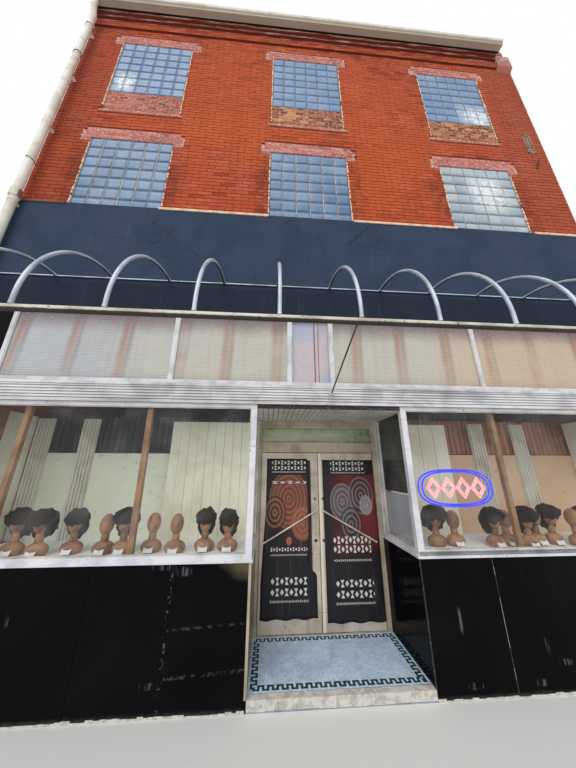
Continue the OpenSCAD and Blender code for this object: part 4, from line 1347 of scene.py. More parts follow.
@dataclass
class FrontWall:
    """Brick front between the fascia and the gutter, with its arches, infill and fittings."""

    windows: tuple[Window, ...] = MIDDLE_ROW + TOP_ROW
    arch_over: float = 0.15
    arch_ear: float = 0.06
    arch_course: float = 0.075
    arch_courses: int = 3
    sill_tall: float = 0.045
    steps: tuple[float, ...] = (0.0, 0.030, 0.064, 0.098)
    steps_end: float = 3.78
    vent: Area = (3.755, 3.885, 7.15, 7.62)
    bond: Bond = field(default_factory=Bond)

    def build(self) -> None:
        """Builds every piece of the front wall."""
        low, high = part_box("front_wall")
        self.left, self.right, self.face = low.x, high.x, low.y
        self.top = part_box("front_cornice")[0].z
        self.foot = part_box("fascia_panel")[1].z
        self._bricks()
        self._arches()
        self._infill()
        self._jamb_mortar()
        self._fittings()

    def _arch_holes(self) -> list[Area]:
        """Areas of the flat arches, with their ears."""
        holes = []
        for w in self.windows:
            a, b = w.left - self.arch_over, w.right + self.arch_over
            body = w.head + (self.arch_courses - 1) * self.arch_course
            holes.append((a, b, w.head - self.arch_course, body))
            holes.append((a + self.arch_ear, b - self.arch_ear, body, body + self.arch_course))
        return holes

    def _bricks(self) -> None:
        """Lays the wall and the cornice's steps."""
        draft = Draft()
        sills = [(w.left - 0.04, w.right + 0.04, w.sill - self.sill_tall, w.sill)
                 for w in self.windows if w.infill]
        holes = [w.hole for w in self.windows] + self._arch_holes() + sills
        self.bond.lay(draft, (self.left, self.right, self.foot, self.top), self.face, holes=holes)
        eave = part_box("front_cornice")[1].z
        course = BLOCK_PITCH / 3
        levels = [self.top, self.top + course, self.top + 4 * course, self.top + 5 * course, eave]
        for out, low, high in zip(self.steps, levels, levels[1:]):
            stepped = Bond(course=course, random=self.bond.random)
            stepped.lay_from(low, draft, [(self.left, self.steps_end, low, high)], self.face - out)
        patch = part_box("cornice_end_patch")[0]
        if patch.z > self.top:
            self.bond.lay(draft, (patch.x, self.right, self.top, patch.z), self.face)
        draft.piece("front_bricks", WALL_BRICK, "brick")

    def _arches(self) -> None:
        """Lays the rebuilt flat arches in three courses of their own."""
        draft = Draft()
        bond = Bond(length=0.2, course=self.arch_course, joint=0.011, proud=0.0012, wander=0.0006,
                    random=self.bond.random)
        for w in self.windows:
            a, b = w.left - self.arch_over, w.right + self.arch_over
            foot, body = w.head - self.arch_course, w.head + (self.arch_courses - 1) * self.arch_course
            bond.lay_from(w.head, draft, [
                (a, w.left, foot, w.head), (w.right, b, foot, w.head), (a, b, w.head, body),
                (a + self.arch_ear, b - self.arch_ear, body, body + self.arch_course)], self.face)
        draft.piece("arch_bricks", LINTEL_BRICK, "patched_brick")

    def _infill(self) -> None:
        """Lays the rough infill under the top windows and the worn face of the old sills."""
        sills = Draft()
        bond = Bond(length=0.125, joint=0.014, proud=0.0015, wander=0.0012, random=self.bond.random)
        filled = [w for w in self.windows if w.infill]
        for side, finish, windows in (("left", MAUVE_BRICK, filled[:1]), ("right", INFILL_BRICK, filled[1:])):
            draft = Draft()
            for w in windows:
                bond.lay(draft, (w.left + 0.004, w.right - 0.004, w.sill, w.foot), self.face + 0.012)
                low = w.sill - self.sill_tall
                sills.box((w.left - 0.039, self.face - 0.0095, low + 0.001),
                          (w.right + 0.039, self.face - 0.007, low + 0.044))
            draft.piece(f"{side}_infill_bricks", finish, "infill_brick")
        sills.piece("old_sill_faces", SILL_STONE, "infill_brick")

    def _jamb_mortar(self) -> None:
        """Dabs pale mortar down the sides of the openings, at the arches' ends and along the old sills."""
        draft = Draft()
        pick = random.Random(SEED + 1)
        course = self.bond.course

        def dab(x0: float, x1: float, z: float, tall: float, y: float, deep: float = 0.004) -> None:
            """One flat dab of mortar on a face at y."""
            draft.box((min(x0, x1), y - pick.uniform(0.0012, 0.0028), z), (max(x0, x1), y + deep, z + tall))

        for w in self.windows:
            low = max(w.sill, self.foot)
            for side, sign in ((w.left, 1), (w.right, -1)):
                for row in range(math.ceil(low / course), math.floor((w.head - 0.02) / course)):
                    if pick.random() < 0.1:
                        continue
                    z = row * course + pick.uniform(-0.01, 0.01)
                    dab(side + sign * 0.005, side - sign * pick.uniform(0.005, 0.016), z,
                        pick.uniform(0.036, 0.07), self.face - self.bond.proud, 0.024)
                end = side - sign * self.arch_over
                for _ in range(9):
                    z = w.head - self.arch_course + pick.uniform(0.0, self.arch_course * 2.8)
                    at = end + sign * pick.uniform(-0.008, 0.05)
                    dab(at, at + sign * pick.uniform(0.006, 0.02), z, pick.uniform(0.01, 0.03),
                        self.face - 0.004)
            if w.infill:
                x = w.left - 0.06
                while x < w.right + 0.06:
                    near_end = min(x - w.left, w.right - x) < 0.12
                    if pick.random() < (0.8 if near_end else 0.22):
                        z = w.sill + pick.uniform(-0.042, 0.004)
                        dab(x, x + pick.uniform(0.01, 0.05), z, pick.uniform(0.006, 0.016),
                            self.face - 0.0095)
                    x += pick.uniform(0.015, 0.05)
        draft.piece("jamb_mortar", CREAM_MORTAR, "cement", bevel=0.0008)

    def _fittings(self) -> None:
        """Iron vent grille with a dark plate behind it as painted shade, and the stub of a rod at the right
        of the front.
        """
        left, right, low, high = self.vent
        face, rim, rows = self.face, 0.016, 11
        vent = Draft(*(((x0, face - 0.018, z0), (x1, face - 0.002, z1)) for x0, x1, z0, z1 in (
            (left, left + rim, low, high), (right - rim, right, low, high), (left, right, low, low + rim),
            (left, right, high - rim, high))))
        for n in range(1, rows):
            z = low + (high - low) * n / rows
            vent.box((left + rim, face - 0.014, z - 0.007), (right - rim, face - 0.004, z + 0.007))
        middle = (left + right) / 2
        vent.box((middle - 0.006, face - 0.016, low + rim), (middle + 0.006, face - 0.003, high - rim))
        vent.piece("wall_vent", PALE_IRON, "galvanised", bevel=0.001)
        # Dark plate behind the grille: painted shade in the vent's hollow.
        Draft(((left + rim, face - 0.0035, low + rim), (right - rim, face - 0.001, high - rim))).piece(
            "wall_vent_shade_plate", OLD_IRON, "galvanised")
        rod = Draft()
        rod.tube([(3.79, face - 0.022, 6.76), (3.825, face - 0.034, 6.86), (3.86, face - 0.03, 6.96)], 0.01)
        rod.tube([(3.825, face + 0.004, 6.86), (3.825, face - 0.034, 6.86)], 0.009)
        rod.piece("iron_rod", OLD_IRON, "galvanised")


@dataclass
class GlassBlocks:
    """Cast blocks of the upper windows, each a pillow over its solid."""

    joint: float = 0.010
    raised: float = 0.0035
    fineness: int = 7

    def build(self) -> None:
        """Builds the blocks of both fronts."""
        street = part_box("middle_glass_blocks")[0].y
        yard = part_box("back_glass_blocks")[1].y
        self._windows("middle_blocks", MIDDLE_ROW[:2], street, Facing.STREET, MIDDLE_GLASS)
        self._windows("middle_blocks_right", MIDDLE_ROW[2:], street, Facing.STREET, PALE_GLASS)
        self._windows("top_blocks", TOP_ROW, street, Facing.STREET, TOP_GLASS)
        self._windows("back_blocks", MIDDLE_ROW + TOP_ROW, yard, Facing.YARD, MIDDLE_GLASS)
        self._pointing("middle", MIDDLE_ROW, street, UPRIGHT_POINTING)
        self._pointing("top", TOP_ROW, street, COOL_POINTING)

    def _pointing(self, row: str, windows: Sequence[Window], face: float, finish: Finish) -> None:
        """Fills the joints of one row of street windows with strips of mortar, the level strips darker as
        painted shade.

        Args:
            row: Name of the row, for the pieces' names.
            windows: The row's windows.
            face: The blocks' outer y.
            finish: Finish of the upright strips.
        """
        upright, level = Draft(), Draft()
        half = self.joint / 2 + 0.0014
        pick = random.Random(SEED + 20)
        for w in windows:
            columns, rows = w.blocks
            for c in range(columns + 1):
                x = w.left + c * BLOCK_PITCH
                for r in range(rows):
                    z = w.foot + r * BLOCK_PITCH
                    wide = half + pick.uniform(0.0, 0.0022)
                    upright.box((max(w.left, x - wide), face - pick.uniform(0.0002, 0.0012), z + 0.006),
                                (min(w.right, x + wide), face + 0.007, z + BLOCK_PITCH - 0.006))
            for r in range(rows + 1):
                z = w.foot + r * BLOCK_PITCH
                level.box((w.left, face + 0.0012, max(w.foot, z - half)),
                          (w.right, face + 0.007, min(w.head, z + half)))
        upright.piece(f"{row}_upright_pointing", finish, "glass_block")
        # The level strips wear the darker copy of the mortar: painted shade in the level joints.
        level.piece(f"{row}_shaded_level_pointing", SHADED_LEVEL_POINTING, "glass_block")

    def _windows(self, name: str, windows: Sequence[Window], face: float, facing: Facing,
                 finish: Finish) -> None:
        """Fills a row of windows with pillows, one for each block.

        Args:
            name: Name of the piece.
            windows: The row's windows.
            face: The blocks' outer y.
            facing: Side that they look towards.
            finish: Finish of the blocks.
        """
        draft = Draft()
        pick = random.Random(SEED + len(name))
        half = (BLOCK_PITCH - self.joint) / 2 + 0.0005
        for w in windows:
            columns, rows = w.blocks
            for c in range(columns):
                for r in range(rows):
                    x, z = w.left + (c + 0.5) * BLOCK_PITCH, w.foot + (r + 0.5) * BLOCK_PITCH
                    self._pillow(draft, x, z, half, face, facing, pick)
        draft.piece(name, finish, "glass_block", smooth=True)

    def _pillow(self, draft: Draft, x: float, z: float, half: float, face: float, facing: Facing,
                pick: random.Random) -> None:
        """Adds one block's face: flat in the middle, rounded at its edges and rippled.

        Args:
            draft: Mesh that takes it.
            x: The block's middle in x.
            z: Its middle in z.
            half: Half its width.
            face: Its outer y.
            facing: Side that it looks towards.
            pick: Source of the ripple's phase and direction.
        """
        phase = pick.uniform(0, math.tau)
        spin = pick.uniform(0, math.pi)

        def place(s: float, t: float) -> Point:
            """Point of the face at two shares."""
            u, v = (2 * s - 1) * facing.value * -1, 2 * t - 1
            edge = max(abs(u), abs(v)) ** 10
            ripple = math.sin(3.1 * (u * math.cos(spin) + v * math.sin(spin)) + phase) * 0.0011
            out = (self.raised + ripple) * (1 - edge)
            return (x + u * half, face + facing.value * (out + 0.0004), z + v * half)

        draft.grid(self.fineness, self.fineness, place, face - facing.value * 0.004)


@dataclass
class Awning:
    """Small fittings of the bare awning frame."""

    bows: int = 13
    radius: float = 0.0165

    def build(self) -> None:
        """Adds a clip where each bow leaves the wall bar and a collar where it lands."""
        wall_low, wall_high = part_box("awning_wall_bar")
        bow_low, bow_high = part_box("awning_bows")
        first, last = bow_low.x + self.radius, bow_high.x - self.radius
        wall_y, wall_z = (wall_low.y + wall_high.y) / 2, (wall_low.z + wall_high.z) / 2
        foot_y, foot_z = bow_low.y + self.radius, bow_low.z
        draft = Draft()
        for n in range(self.bows):
            x = first + (last - first) * n / (self.bows - 1)
            draft.tube([(x, wall_y - 0.012, wall_z), (x, wall_y - 0.036, wall_z)], self.radius + 0.0016, 16)
            draft.tube([(x, foot_y, foot_z), (x, foot_y, foot_z + 0.024)], self.radius + 0.0012, 16)
        draft.piece("awning_collars", GALVANISED, "galvanised", bevel=0.001)


@dataclass
class Shopfront:
    """Transom, windows and bulkheads of the ground storey."""

    glass_y: float = -5.975
    bead: float = 0.013
    low: float = 1.115
    high: float = 2.51
    jamb: float = 0.06
    stile: float = 0.04
    mullions: tuple[float, float, float] = (-1.7925, 0.05, 1.8925)
    vent: tuple[float, float] = (-0.454, 0.05)
    back: float = -5.16
    deck_heads: tuple[tuple[float, int], ...] = (
        (-3.16, 1), (-2.9, 1), (-2.62, 1), (-2.3, 0), (-2.12, 1), (-1.85, 0), (-1.6, 0), (-1.32, 1),
        (-1.08, 1), (1.2, 1), (1.42, 0), (1.84, 1), (2.02, 0), (2.2, 1), (2.38, 0), (2.58, 1), (2.8, 0),
        (3.02, 1), (3.26, 0))

    def build(self) -> None:
        """Builds beads, bulkhead trims and what shows through the glass."""
        self._beads()
        self._transom_beads()
        self._bulkhead_trim()
        self._interior()
        self._stands()
        self._sign()

    def _beads(self) -> None:
        """Glazing beads of the shop windows, front and side lights."""
        draft = Draft()
        y = self.glass_y
        left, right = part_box("left_window_frame")[0].x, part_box("right_window_frame")[1].x
        for x0, x1 in ((left + self.stile, RECESS_LEFT - self.jamb),
                       (RECESS_RIGHT + self.jamb, right - self.stile)):
            draft.frame((x0, x1, self.low, self.high), y - 0.015, y - 0.0005, self.bead)
        for x, sign in ((RECESS_LEFT, 1), (RECESS_RIGHT, -1)):
            glass = x - sign * 0.03
            near, far = sorted((glass + sign * 0.0055, glass + sign * 0.02))
            for y0, y1, z0, z1 in ((-5.94, -5.927, self.low, self.high), (-5.243, -5.23, self.low, self.high),
                                   (-5.927, -5.243, self.low, self.low + self.bead),
                                   (-5.927, -5.243, self.high - self.bead, self.high)):
                draft.box((near, y0, z0), (far, y1, z1))
        draft.piece("glazing_beads", BEAD_METAL, "mill_aluminium", bevel=0.001)

    def _transom_beads(self) -> None:
        """Thin beads round the transom's lights, and the blind in the vent light."""
        draft = Draft()
        low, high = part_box("transom_ribbed_glass")
        half = 0.02
        a, b, c = self.mullions
        for x0, x1 in ((low.x, a - half), (a + half, self.vent[0] - half), (b + half, c - half),
                       (c + half, high.x), (self.vent[0] + half, self.vent[1] - half)):
            draft.frame((x0, x1, low.z, high.z), -5.994, -5.982, 0.01)
        draft.piece("transom_beads", WHITE_PAINT, "white_metal", bevel=0.001)
        Draft(((-0.43, -5.955, low.z), (0.026, -5.95, high.z))).piece("vent_blind", VENT_GLASS, "white_metal")
        Draft(*(((x, -5.96, low.z + 0.01), (x + wide, -5.954, high.z - 0.01))
                for x, wide in ((-0.155, 0.012), (-0.105, 0.006)))).piece(
            "vent_blind_edges", BLIND_EDGE, "white_metal", bevel=0.001)

    def _bulkhead_trim(self) -> None:
        """Corner strips of the bulkheads, the joints of their panels and the cement along their foot."""
        face, left, right, foot, top = STREET_FACE, RECESS_LEFT, RECESS_RIGHT, PANEL_FOOT, PANEL_TOP
        joints = near, far = (1.538, 2.62)
        Draft(((left - 0.022, face - 0.002, foot), (left, face, top)),
              ((left, face - 0.002, foot), (left + 0.002, face + 0.028, top))).piece(
            "bulkhead_corner_strip", CHAMPAGNE, "mill_aluminium", bevel=0.0008)
        Draft(((right, face - 0.0015, foot), (right + 0.006, face, top)),
              ((right - 0.0015, face - 0.0015, foot), (right, face + 0.012, top))).piece(
            "bulkhead_dull_corner", OLD_IRON, "mill_aluminium", bevel=0.0006)
        silver = ((near, 0.34, 0.72), (near, 0.9, 0.97), (near, 0.12, 0.2), (far, 0.5, 0.8))
        Draft(*(((x, face - 0.0018, z0), (x + 0.0025, face + 0.0005, z1)) for x, z0, z1 in silver)).piece(
            "panel_joint_strips", BAR_METAL, "mill_aluminium")
        seals = Draft(*(((x - 0.0015, face - 0.0012, 0.03), (x + 0.0045, face + 0.0005, 1.048))
                        for x in joints))
        seals.piece("panel_joint_seals", OLD_IRON, "mill_aluminium", bevel=0.0005)
        Draft(*(((0.81, face - 0.0022, z), (3.72, face, z + 0.024)) for z in (1.058, 1.084))).piece(
            "right_sill_cover", SILL_METAL, "mill_aluminium", bevel=0.0008)
        cement = Draft()
        pick = random.Random(SEED + 2)
        for start, end in ((-3.635, left), (right, 3.735)):
            for x0, x1 in uneven(start, end, 0.03, 0.09, 0.02, pick):
                cement.box((x0, face - pick.uniform(0.003, 0.008), 0.0),
                           (x1, face + 0.005, pick.uniform(0.006, 0.022)))
        cement.piece("bulkhead_foot_mortar", THRESHOLD, "cement", bevel=0.002)

    def _interior(self) -> None:
        """Slats, posts and pale screens behind the glass of the display windows."""
        back = self.back
        for name, finish, x0, x1 in (("left", SLAT, -3.62, -0.9), ("right", SLAT_WARM, 0.9, 3.72)):
            Draft(*(((x + 0.004, back + 0.014, 2.07), (x + 0.066, back + 0.024, 2.545))
                    for x, _ in strips(x0, x1, round((x1 - x0) / 0.075)))).piece(
                f"{name}_display_slats", finish, "display_board")
        posts = Draft()
        for middle in (-3.6, -3.03, 2.33, 2.97):
            for n in range(5):
                x = middle - 0.1 + n * 0.04
                posts.box((x + 0.004, back - 0.042, DECK), (x + 0.036, back - 0.022, 2.5))
            posts.box((middle - 0.11, back - 0.024, DECK), (middle + 0.11, back - 0.012, 2.5))
        posts.piece("fluted_posts", POST_PALE, "display_board", bevel=0.006)
        timber = Draft()
        for x, lean in ((-3.275, 0.03), (-1.965, -0.02), (1.98, 0.0)):
            timber.add([(x + lean * up + dx, y, DECK + 1.44 * up) for up in (0, 1)
                        for dx, y in ((-0.028, -5.9), (0.028, -5.9), (0.028, -5.85), (-0.028, -5.85))],
                       BOX_FACES)
        timber.piece("display_timber_posts", POST_TIMBER, "timber", bevel=0.004)
        screens = Draft()
        for x0, x1 in ((-1.93, -0.92), (0.92, 1.78)):
            for n, (a, b) in enumerate(strips(x0, x1, 9)):
                screens.box((a + 0.0015, -5.3 - 0.004 * (n % 2), DECK), (b - 0.0015, -5.28, 2.46))
        for x0, x1 in ((-3.732, -3.722), (3.722, 3.732)):
            for n in range(7):
                y = -5.92 + n * 0.106
                screens.box((x0, y + 0.0015, DECK), (x1, y + 0.1045, 2.52))
        screens.piece("display_screens", SCREEN_CREAM, "display_board", bevel=0.001)

    def _stands(self) -> None:
        """Plain display heads on rounded bases, some with hair, and cards in front of them."""
        forms, hair, cards = Draft(), Draft(), Draft()
        pick = random.Random(SEED + 30)
        for x, worn in self.deck_heads:
            y = -5.72 + pick.uniform(-0.05, 0.05)
            head = DECK + 0.27 * pick.uniform(0.94, 1.06)
            forms.egg((x, y, DECK + 0.05), (0.105, 0.07, 0.07))
            forms.tube([(x, y, DECK + 0.07), (x, y + 0.005, head - 0.04)], 0.036, 14)
            forms.egg((x, y, head), (0.062, 0.08, 0.098))
            if worn:
                wide = pick.uniform(0.095, 0.14)
                hair.egg((x, y - 0.01, head + 0.05), (wide, 0.105, 0.085), 0.3, 18, 28)
                hair.egg((x, y + 0.04, head - 0.01), (wide * 0.95, 0.07, 0.13), 0.3, 18, 28)
            if pick.random() < 0.7:
                low, wide = DECK + 0.012, 0.045
                cards.add([(x + dx, y - 0.085 + up * 0.03 + dy, low + up * 0.06) for up in (0, 1)
                           for dx, dy in ((-wide, 0), (wide, 0), (wide, 0.002), (-wide, 0.002))], BOX_FACES)
        forms.piece("display_heads", FORM_TAN, "display_board", smooth=True)
        hair.piece("display_hair", HAIR_DARK, "display_board", smooth=True)
        cards.piece("display_cards", CARD_WHITE, "display_board")

    def _sign(self) -> None:
        """Lit sign behind the right window: an oval ring round a row of diamonds."""
        ring, marks, holders = Draft(), Draft(), Draft()
        x, z, y = 1.37, 1.68, -5.9
        wide, tall = 0.42, 0.185
        for grow in (1.0, 0.9):
            path = []
            for n in range(64):
                a = math.tau * n / 64
                c, s = math.cos(a), math.sin(a)
                path.append((x + wide * grow * math.copysign(abs(c) ** 0.7, c), y,
                             z + tall * grow * math.copysign(abs(s) ** 0.8, s)))
            ring.tube(path, 0.009, 8, True)
        for n in range(4):
            cx = x - 0.255 + n * 0.17
            for size in (0.078, 0.052):
                rise = size * 1.35
                path = [(cx + dx, y - 0.004, z + dz)
                        for dx, dz in ((size, 0.0), (0.0, rise), (-size, 0.0), (0.0, -rise))]
                marks.tube(path, 0.009, 8, True)
        for dx in (-0.28, 0.28):
            holders.tube([(x + dx, y + 0.012, z + tall * 0.9), (x + dx, y + 0.012, 2.5)], 0.0015, 6)
        ring.piece("lit_sign_ring", NEON_BLUE, "plate_glass", smooth=True)
        marks.piece("lit_sign_marks", NEON_PINK, "plate_glass", smooth=True)
        holders.box((x - wide * 0.8, y + 0.012, z - 0.01), (x + wide * 0.8, y + 0.02, z + 0.01))
        holders.piece("lit_sign_holder", SIGN_BOARD, "mill_aluminium")


@dataclass
class Entrance:
    """Recessed entrance: mosaic floor, doors' sheets and hardware."""

    left: float = RECESS_LEFT
    right: float = RECESS_RIGHT
    front: float = STREET_FACE
    back: float = -5.17
    level: float = 0.08
    columns: int = 77
    threshold: float = 0.07
    tile_rise: float = 0.0012
    key: tuple[tuple[int, ...], ...] = ((), (0, 2, 3), (0, 2), (0, 1, 2))

    def build(self) -> None:
        """Builds every piece of the entrance."""
        self._mosaic()
        self._threshold()
        self._posters()
        self._hardware()
        self._over_door()
        self._side_sheet()
        self._ceiling()

    def _is_key(self, column: int, row: int, rows: int) -> bool:
        """Tells whether a tile belongs to the running key border.

        Args:
            column: The tile's place from the left.
            row: Its place from the street.
            rows: Count of rows.

        Returns:
            True for a tile of the key, which turns every four tiles and is three tiles deep.
        """
        end = self.columns - 1 - column
        side = min(column, end)
        for along, depth, room in ((column, row, side), (column, rows - 1 - row, side), (row, column, 3),
                                   (row, end, 3)):
            if depth <= min(3, room):
                return along % 4 in self.key[depth]
        return False

    def _mosaic(self) -> None:
        """Sets the tiles, pale in the field and green in the border."""
        pale, green = Draft(), Draft()
        pitch = (self.right - self.left) / self.columns
        start = self.front + self.threshold
        rows = int((self.back - start) / pitch)
        pick = random.Random(SEED + 3)
        gap = 0.0009
        for r in range(rows):
            for c in range(self.columns):
                x, y = self.left + c * pitch, start + r * pitch
                rise = self.tile_rise + pick.uniform(-0.0003, 0.0003)
                target = green if self._is_key(c, r, rows) else pale
                target.box((x + gap, y + gap, self.level - 0.001),
                           (x + pitch - gap, y + pitch - gap, self.level + rise))
        pale.piece("mosaic_field", TILE_PALE, "mosaic")
        green.piece("mosaic_border", TILE_GREEN, "mosaic")

    def _threshold(self) -> None:
        """Worn cement strip at the street and a thin metal strip under the doors."""
        draft = Draft()
        pick = random.Random(SEED + 4)
        for x0, x1 in uneven(self.left, self.right, 0.05, 0.12, 0.01, pick):
            draft.box((x0, self.front - 0.003, self.level - 0.07 + pick.uniform(-0.004, 0.004)),
                      (x1, self.front + self.threshold - 0.004 - pick.uniform(0.0, 0.006),
                       self.level + pick.uniform(0.0005, 0.0025)))
        draft.piece("entrance_threshold", THRESHOLD, "cement", bevel=0.002)
        Draft(((-0.765, -5.168, self.level), (0.745, -5.07, self.level + 0.004))).piece(
            "door_threshold", CHAMPAGNE, "anodised", bevel=0.001)

    def _posters(self) -> None:
        """Printed sheets hung on the street side of the door leaves."""
        left = Poster(
            "left_sheet_print", 0x423030, 0xde9674, -0.735, -0.062, 0.225,
            rows=((1.95, 0.05, 0.044), (1.882, 0.05, 0.044), (1.83, 0.018, 0.02), (1.7, 0.03, 0.1),
                  (0.93, 0.04, 0.034), (0.87, 0.016, 0.02), (0.6, 0.075, 0.056), (0.49, 0.075, 0.056),
                  (0.4, 0.024, 0.022)),
            discs=((-0.4, 1.5, 0.26, 0x844e3e), (-0.23, 1.22, 0.15, 0x9c5c48),
                   (-0.58, 1.34, 0.15, 0x30282a), (-0.4, 1.02, 0.035, 0xd06860)))
        right = Poster(
            "right_sheet_print", 0x702a2e, 0xbebcbe, 0.05, 0.742, 0.175,
            rows=((1.94, 0.05, 0.044), (1.872, 0.05, 0.044), (1.82, 0.018, 0.02), (1.02, 0.08, 0.05),
                  (0.92, 0.08, 0.05), (0.8, 0.024, 0.026), (0.56, 0.075, 0.056), (0.45, 0.075, 0.056),
                  (0.36, 0.024, 0.022)),
            discs=((0.3, 1.46, 0.17, 0x686266), (0.55, 1.54, 0.17, 0x2e2a2e),
                   (0.61, 1.42, 0.09, 0x969296), (0.4, 1.2, 0.15, 0x28262a)))
        for side, finish, high in (("left", left, 2.0), ("right", right, 1.985)):
            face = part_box(f"{side}_door")[0].y
            draft = Draft()

            def place(s: float, t: float) -> Point:
                """Point of the slack sheet at two shares."""
                z = finish.low + (high - finish.low) * t
                x0, x1 = finish.left, finish.right
                if side == "left":
                    ease = min(1.0, max(0.0, (z - 0.66) / 0.08))
                    x0, x1 = x0 + 0.04 * min(1.0, max(0.0, (z - 0.6) / 0.8)), x1 - 0.093 * ease
                slack = noise.noise(Vector((s * 3.0, t * 6.0, x0 * 9.0))) * 0.002 + 0.002
                drop = 0.008 * math.sin(s * 19.0 + x0 * 5) * max(0.0, 1 - t * 12)
                return (x0 + (x1 - x0) * s, face - 0.0035 - slack, z + drop)

            draft.grid(24, 60, place, face - 0.0012)
            draft.piece(f"{side}_door_sheet", finish, "display_board", f"{side}_leaf", smooth=True)

    def _hardware(self) -> None:
        """Lock cylinders and the corner joints of the leaves."""
        for side, sign in (("left", 1), ("right", -1)):
            low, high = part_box(f"{side}_door")
            meeting = high.x if sign > 0 else low.x
            draft = Draft()
            face = low.y
            for z, radius in ((1.02, 0.019), (1.5, 0.014)):
                draft.disc((meeting - sign * 0.047, face, z), radius, 0.006)
                draft.disc((meeting - sign * 0.047, face - 0.005, z), radius * 0.55, 0.004)
            draft.piece(f"{side}_door_locks", OLD_IRON, "anodised", f"{side}_leaf", bevel=0.001)
            seams = Draft()
            for z in (low.z + 0.2, high.z - 0.095):
                for x0, x1 in ((low.x, low.x + 0.095), (high.x - 0.095, high.x)):
                    seams.box((x0 + 0.002, face - 0.0006, z - 0.001), (x1 - 0.002, face + 0.001, z + 0.001))
            seams.piece(f"{side}_door_seams", OLD_IRON, "anodised", f"{side}_leaf")

    def _over_door(self) -> None:
        """Streaked film on the glass over the header, and the frame's thin trims."""
        Draft(((-0.77, -5.1185, 2.211), (0.75, -5.1165, 2.412))).piece(
            "over_door_film", DOOR_FILM, "plate_glass")
        y0, y1, half = self.back - 0.006, self.back, 0.008
        trims = Draft(*(((x - half, y0, 0.082), (x + half, y1, 2.505)) for x in (-0.8, 0.793)),
                      *(((-0.79, y0, z - 0.007), (0.785, y1, z + 0.007)) for z in (2.204, 2.418)))
        trims.piece("door_frame_trims", BEAD_METAL, "anodised", bevel=0.0015)

    def _ceiling(self) -> None:
        """Narrow boards under the recess ceiling, from the street to the doors."""
        low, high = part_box("recess_ceiling")
        boards = Draft()
        pick = random.Random(SEED + 12)
        for x0, x1 in strips(self.left, self.right, round((self.right - self.left) / 0.06)):
            boards.box((x0 + 0.0038, max(low.y, -5.97), low.z - 0.007 - pick.uniform(0.0, 0.0008)),
                       (x1 - 0.0038, self.back - 0.012, low.z + 0.001))
        boards.piece("recess_ceiling_boards", CEILING_PAINT, "ceiling_board", bevel=0.0015)

    def _side_sheet(self) -> None:
        """Dark and pale sheets behind the right side light."""
        x0, x1 = 0.844, 0.847
        Draft(((x0, -5.9, 1.62), (x1, -5.28, 2.46))).piece("side_light_dark_sheet", SLAT, "display_board")
        Draft(((x0, -5.9, 1.13), (x1, -5.3, 1.6))).piece("side_light_pale_sheet", SIGN_BOARD, "display_board")


@dataclass
class BackWall:
    """Yard side: laid bricks and stone sills round the same windows."""

    windows: tuple[Window, ...] = MIDDLE_ROW + TOP_ROW
    bond: Bond = field(default_factory=lambda: Bond(random=random.Random(SEED + 9)))

    def build(self) -> None:
        """Lays the back wall with a soldier course over each window."""
        low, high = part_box("back_wall")
        face = high.y
        draft, heads, sills = Draft(), Draft(), Draft()
        holes = []
        for w in self.windows:
            holes.append((w.left - 0.1, w.right + 0.1, w.head, w.head + 0.21))
            holes.append((w.left, w.right, w.foot, w.head))
            holes.append((w.left - 0.06, w.right + 0.06, w.foot - 0.06, w.foot))
            for x0, x1 in strips(w.left - 0.1, w.right + 0.1, 20):
                heads.box((x0 + 0.004, face - 0.003, w.head + 0.004),
                          (x1 - 0.004, face + 0.006, w.head + 0.206))
            sills.box((w.left - 0.055, face - 0.003, w.foot - 0.055),
                      (w.right + 0.055, face + 0.04, w.foot - 0.002))
        self.bond.lay(draft, (low.x, high.x, 0.0, high.z - 0.02), face, Facing.YARD, holes)
        draft.piece("back_bricks", WALL_BRICK, "brick")
        heads.piece("back_window_heads", WALL_BRICK, "brick")
        sills.piece("back_window_sills", CEMENT, "cement", bevel=0.004)


@dataclass
class Piers:
    """Black panels on the piers at both ends of the shopfront."""

    thick: float = 0.006
    gap: float = 0.003
    levels: tuple[float, ...] = (0.0, 1.05, 1.8, 2.55, 3.105, 3.66)

    def build(self) -> None:
        """Sets the panels from the base of the walls up to the fascia."""
        low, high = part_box("shopfront_piers")
        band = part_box("shopfront_band")
        draft = Draft()
        for x0, x1 in ((low.x, band[0].x), (band[1].x, high.x)):
            for z0, z1 in zip(self.levels, self.levels[1:]):
                draft.box((x0 + self.gap / 2, low.y - self.thick, z0 + self.gap / 2),
                          (x1 - self.gap / 2, low.y + 0.001, z1 - self.gap / 2))
        draft.piece("pier_panels", BLACK_PANEL, "structural_glass", bevel=0.001)


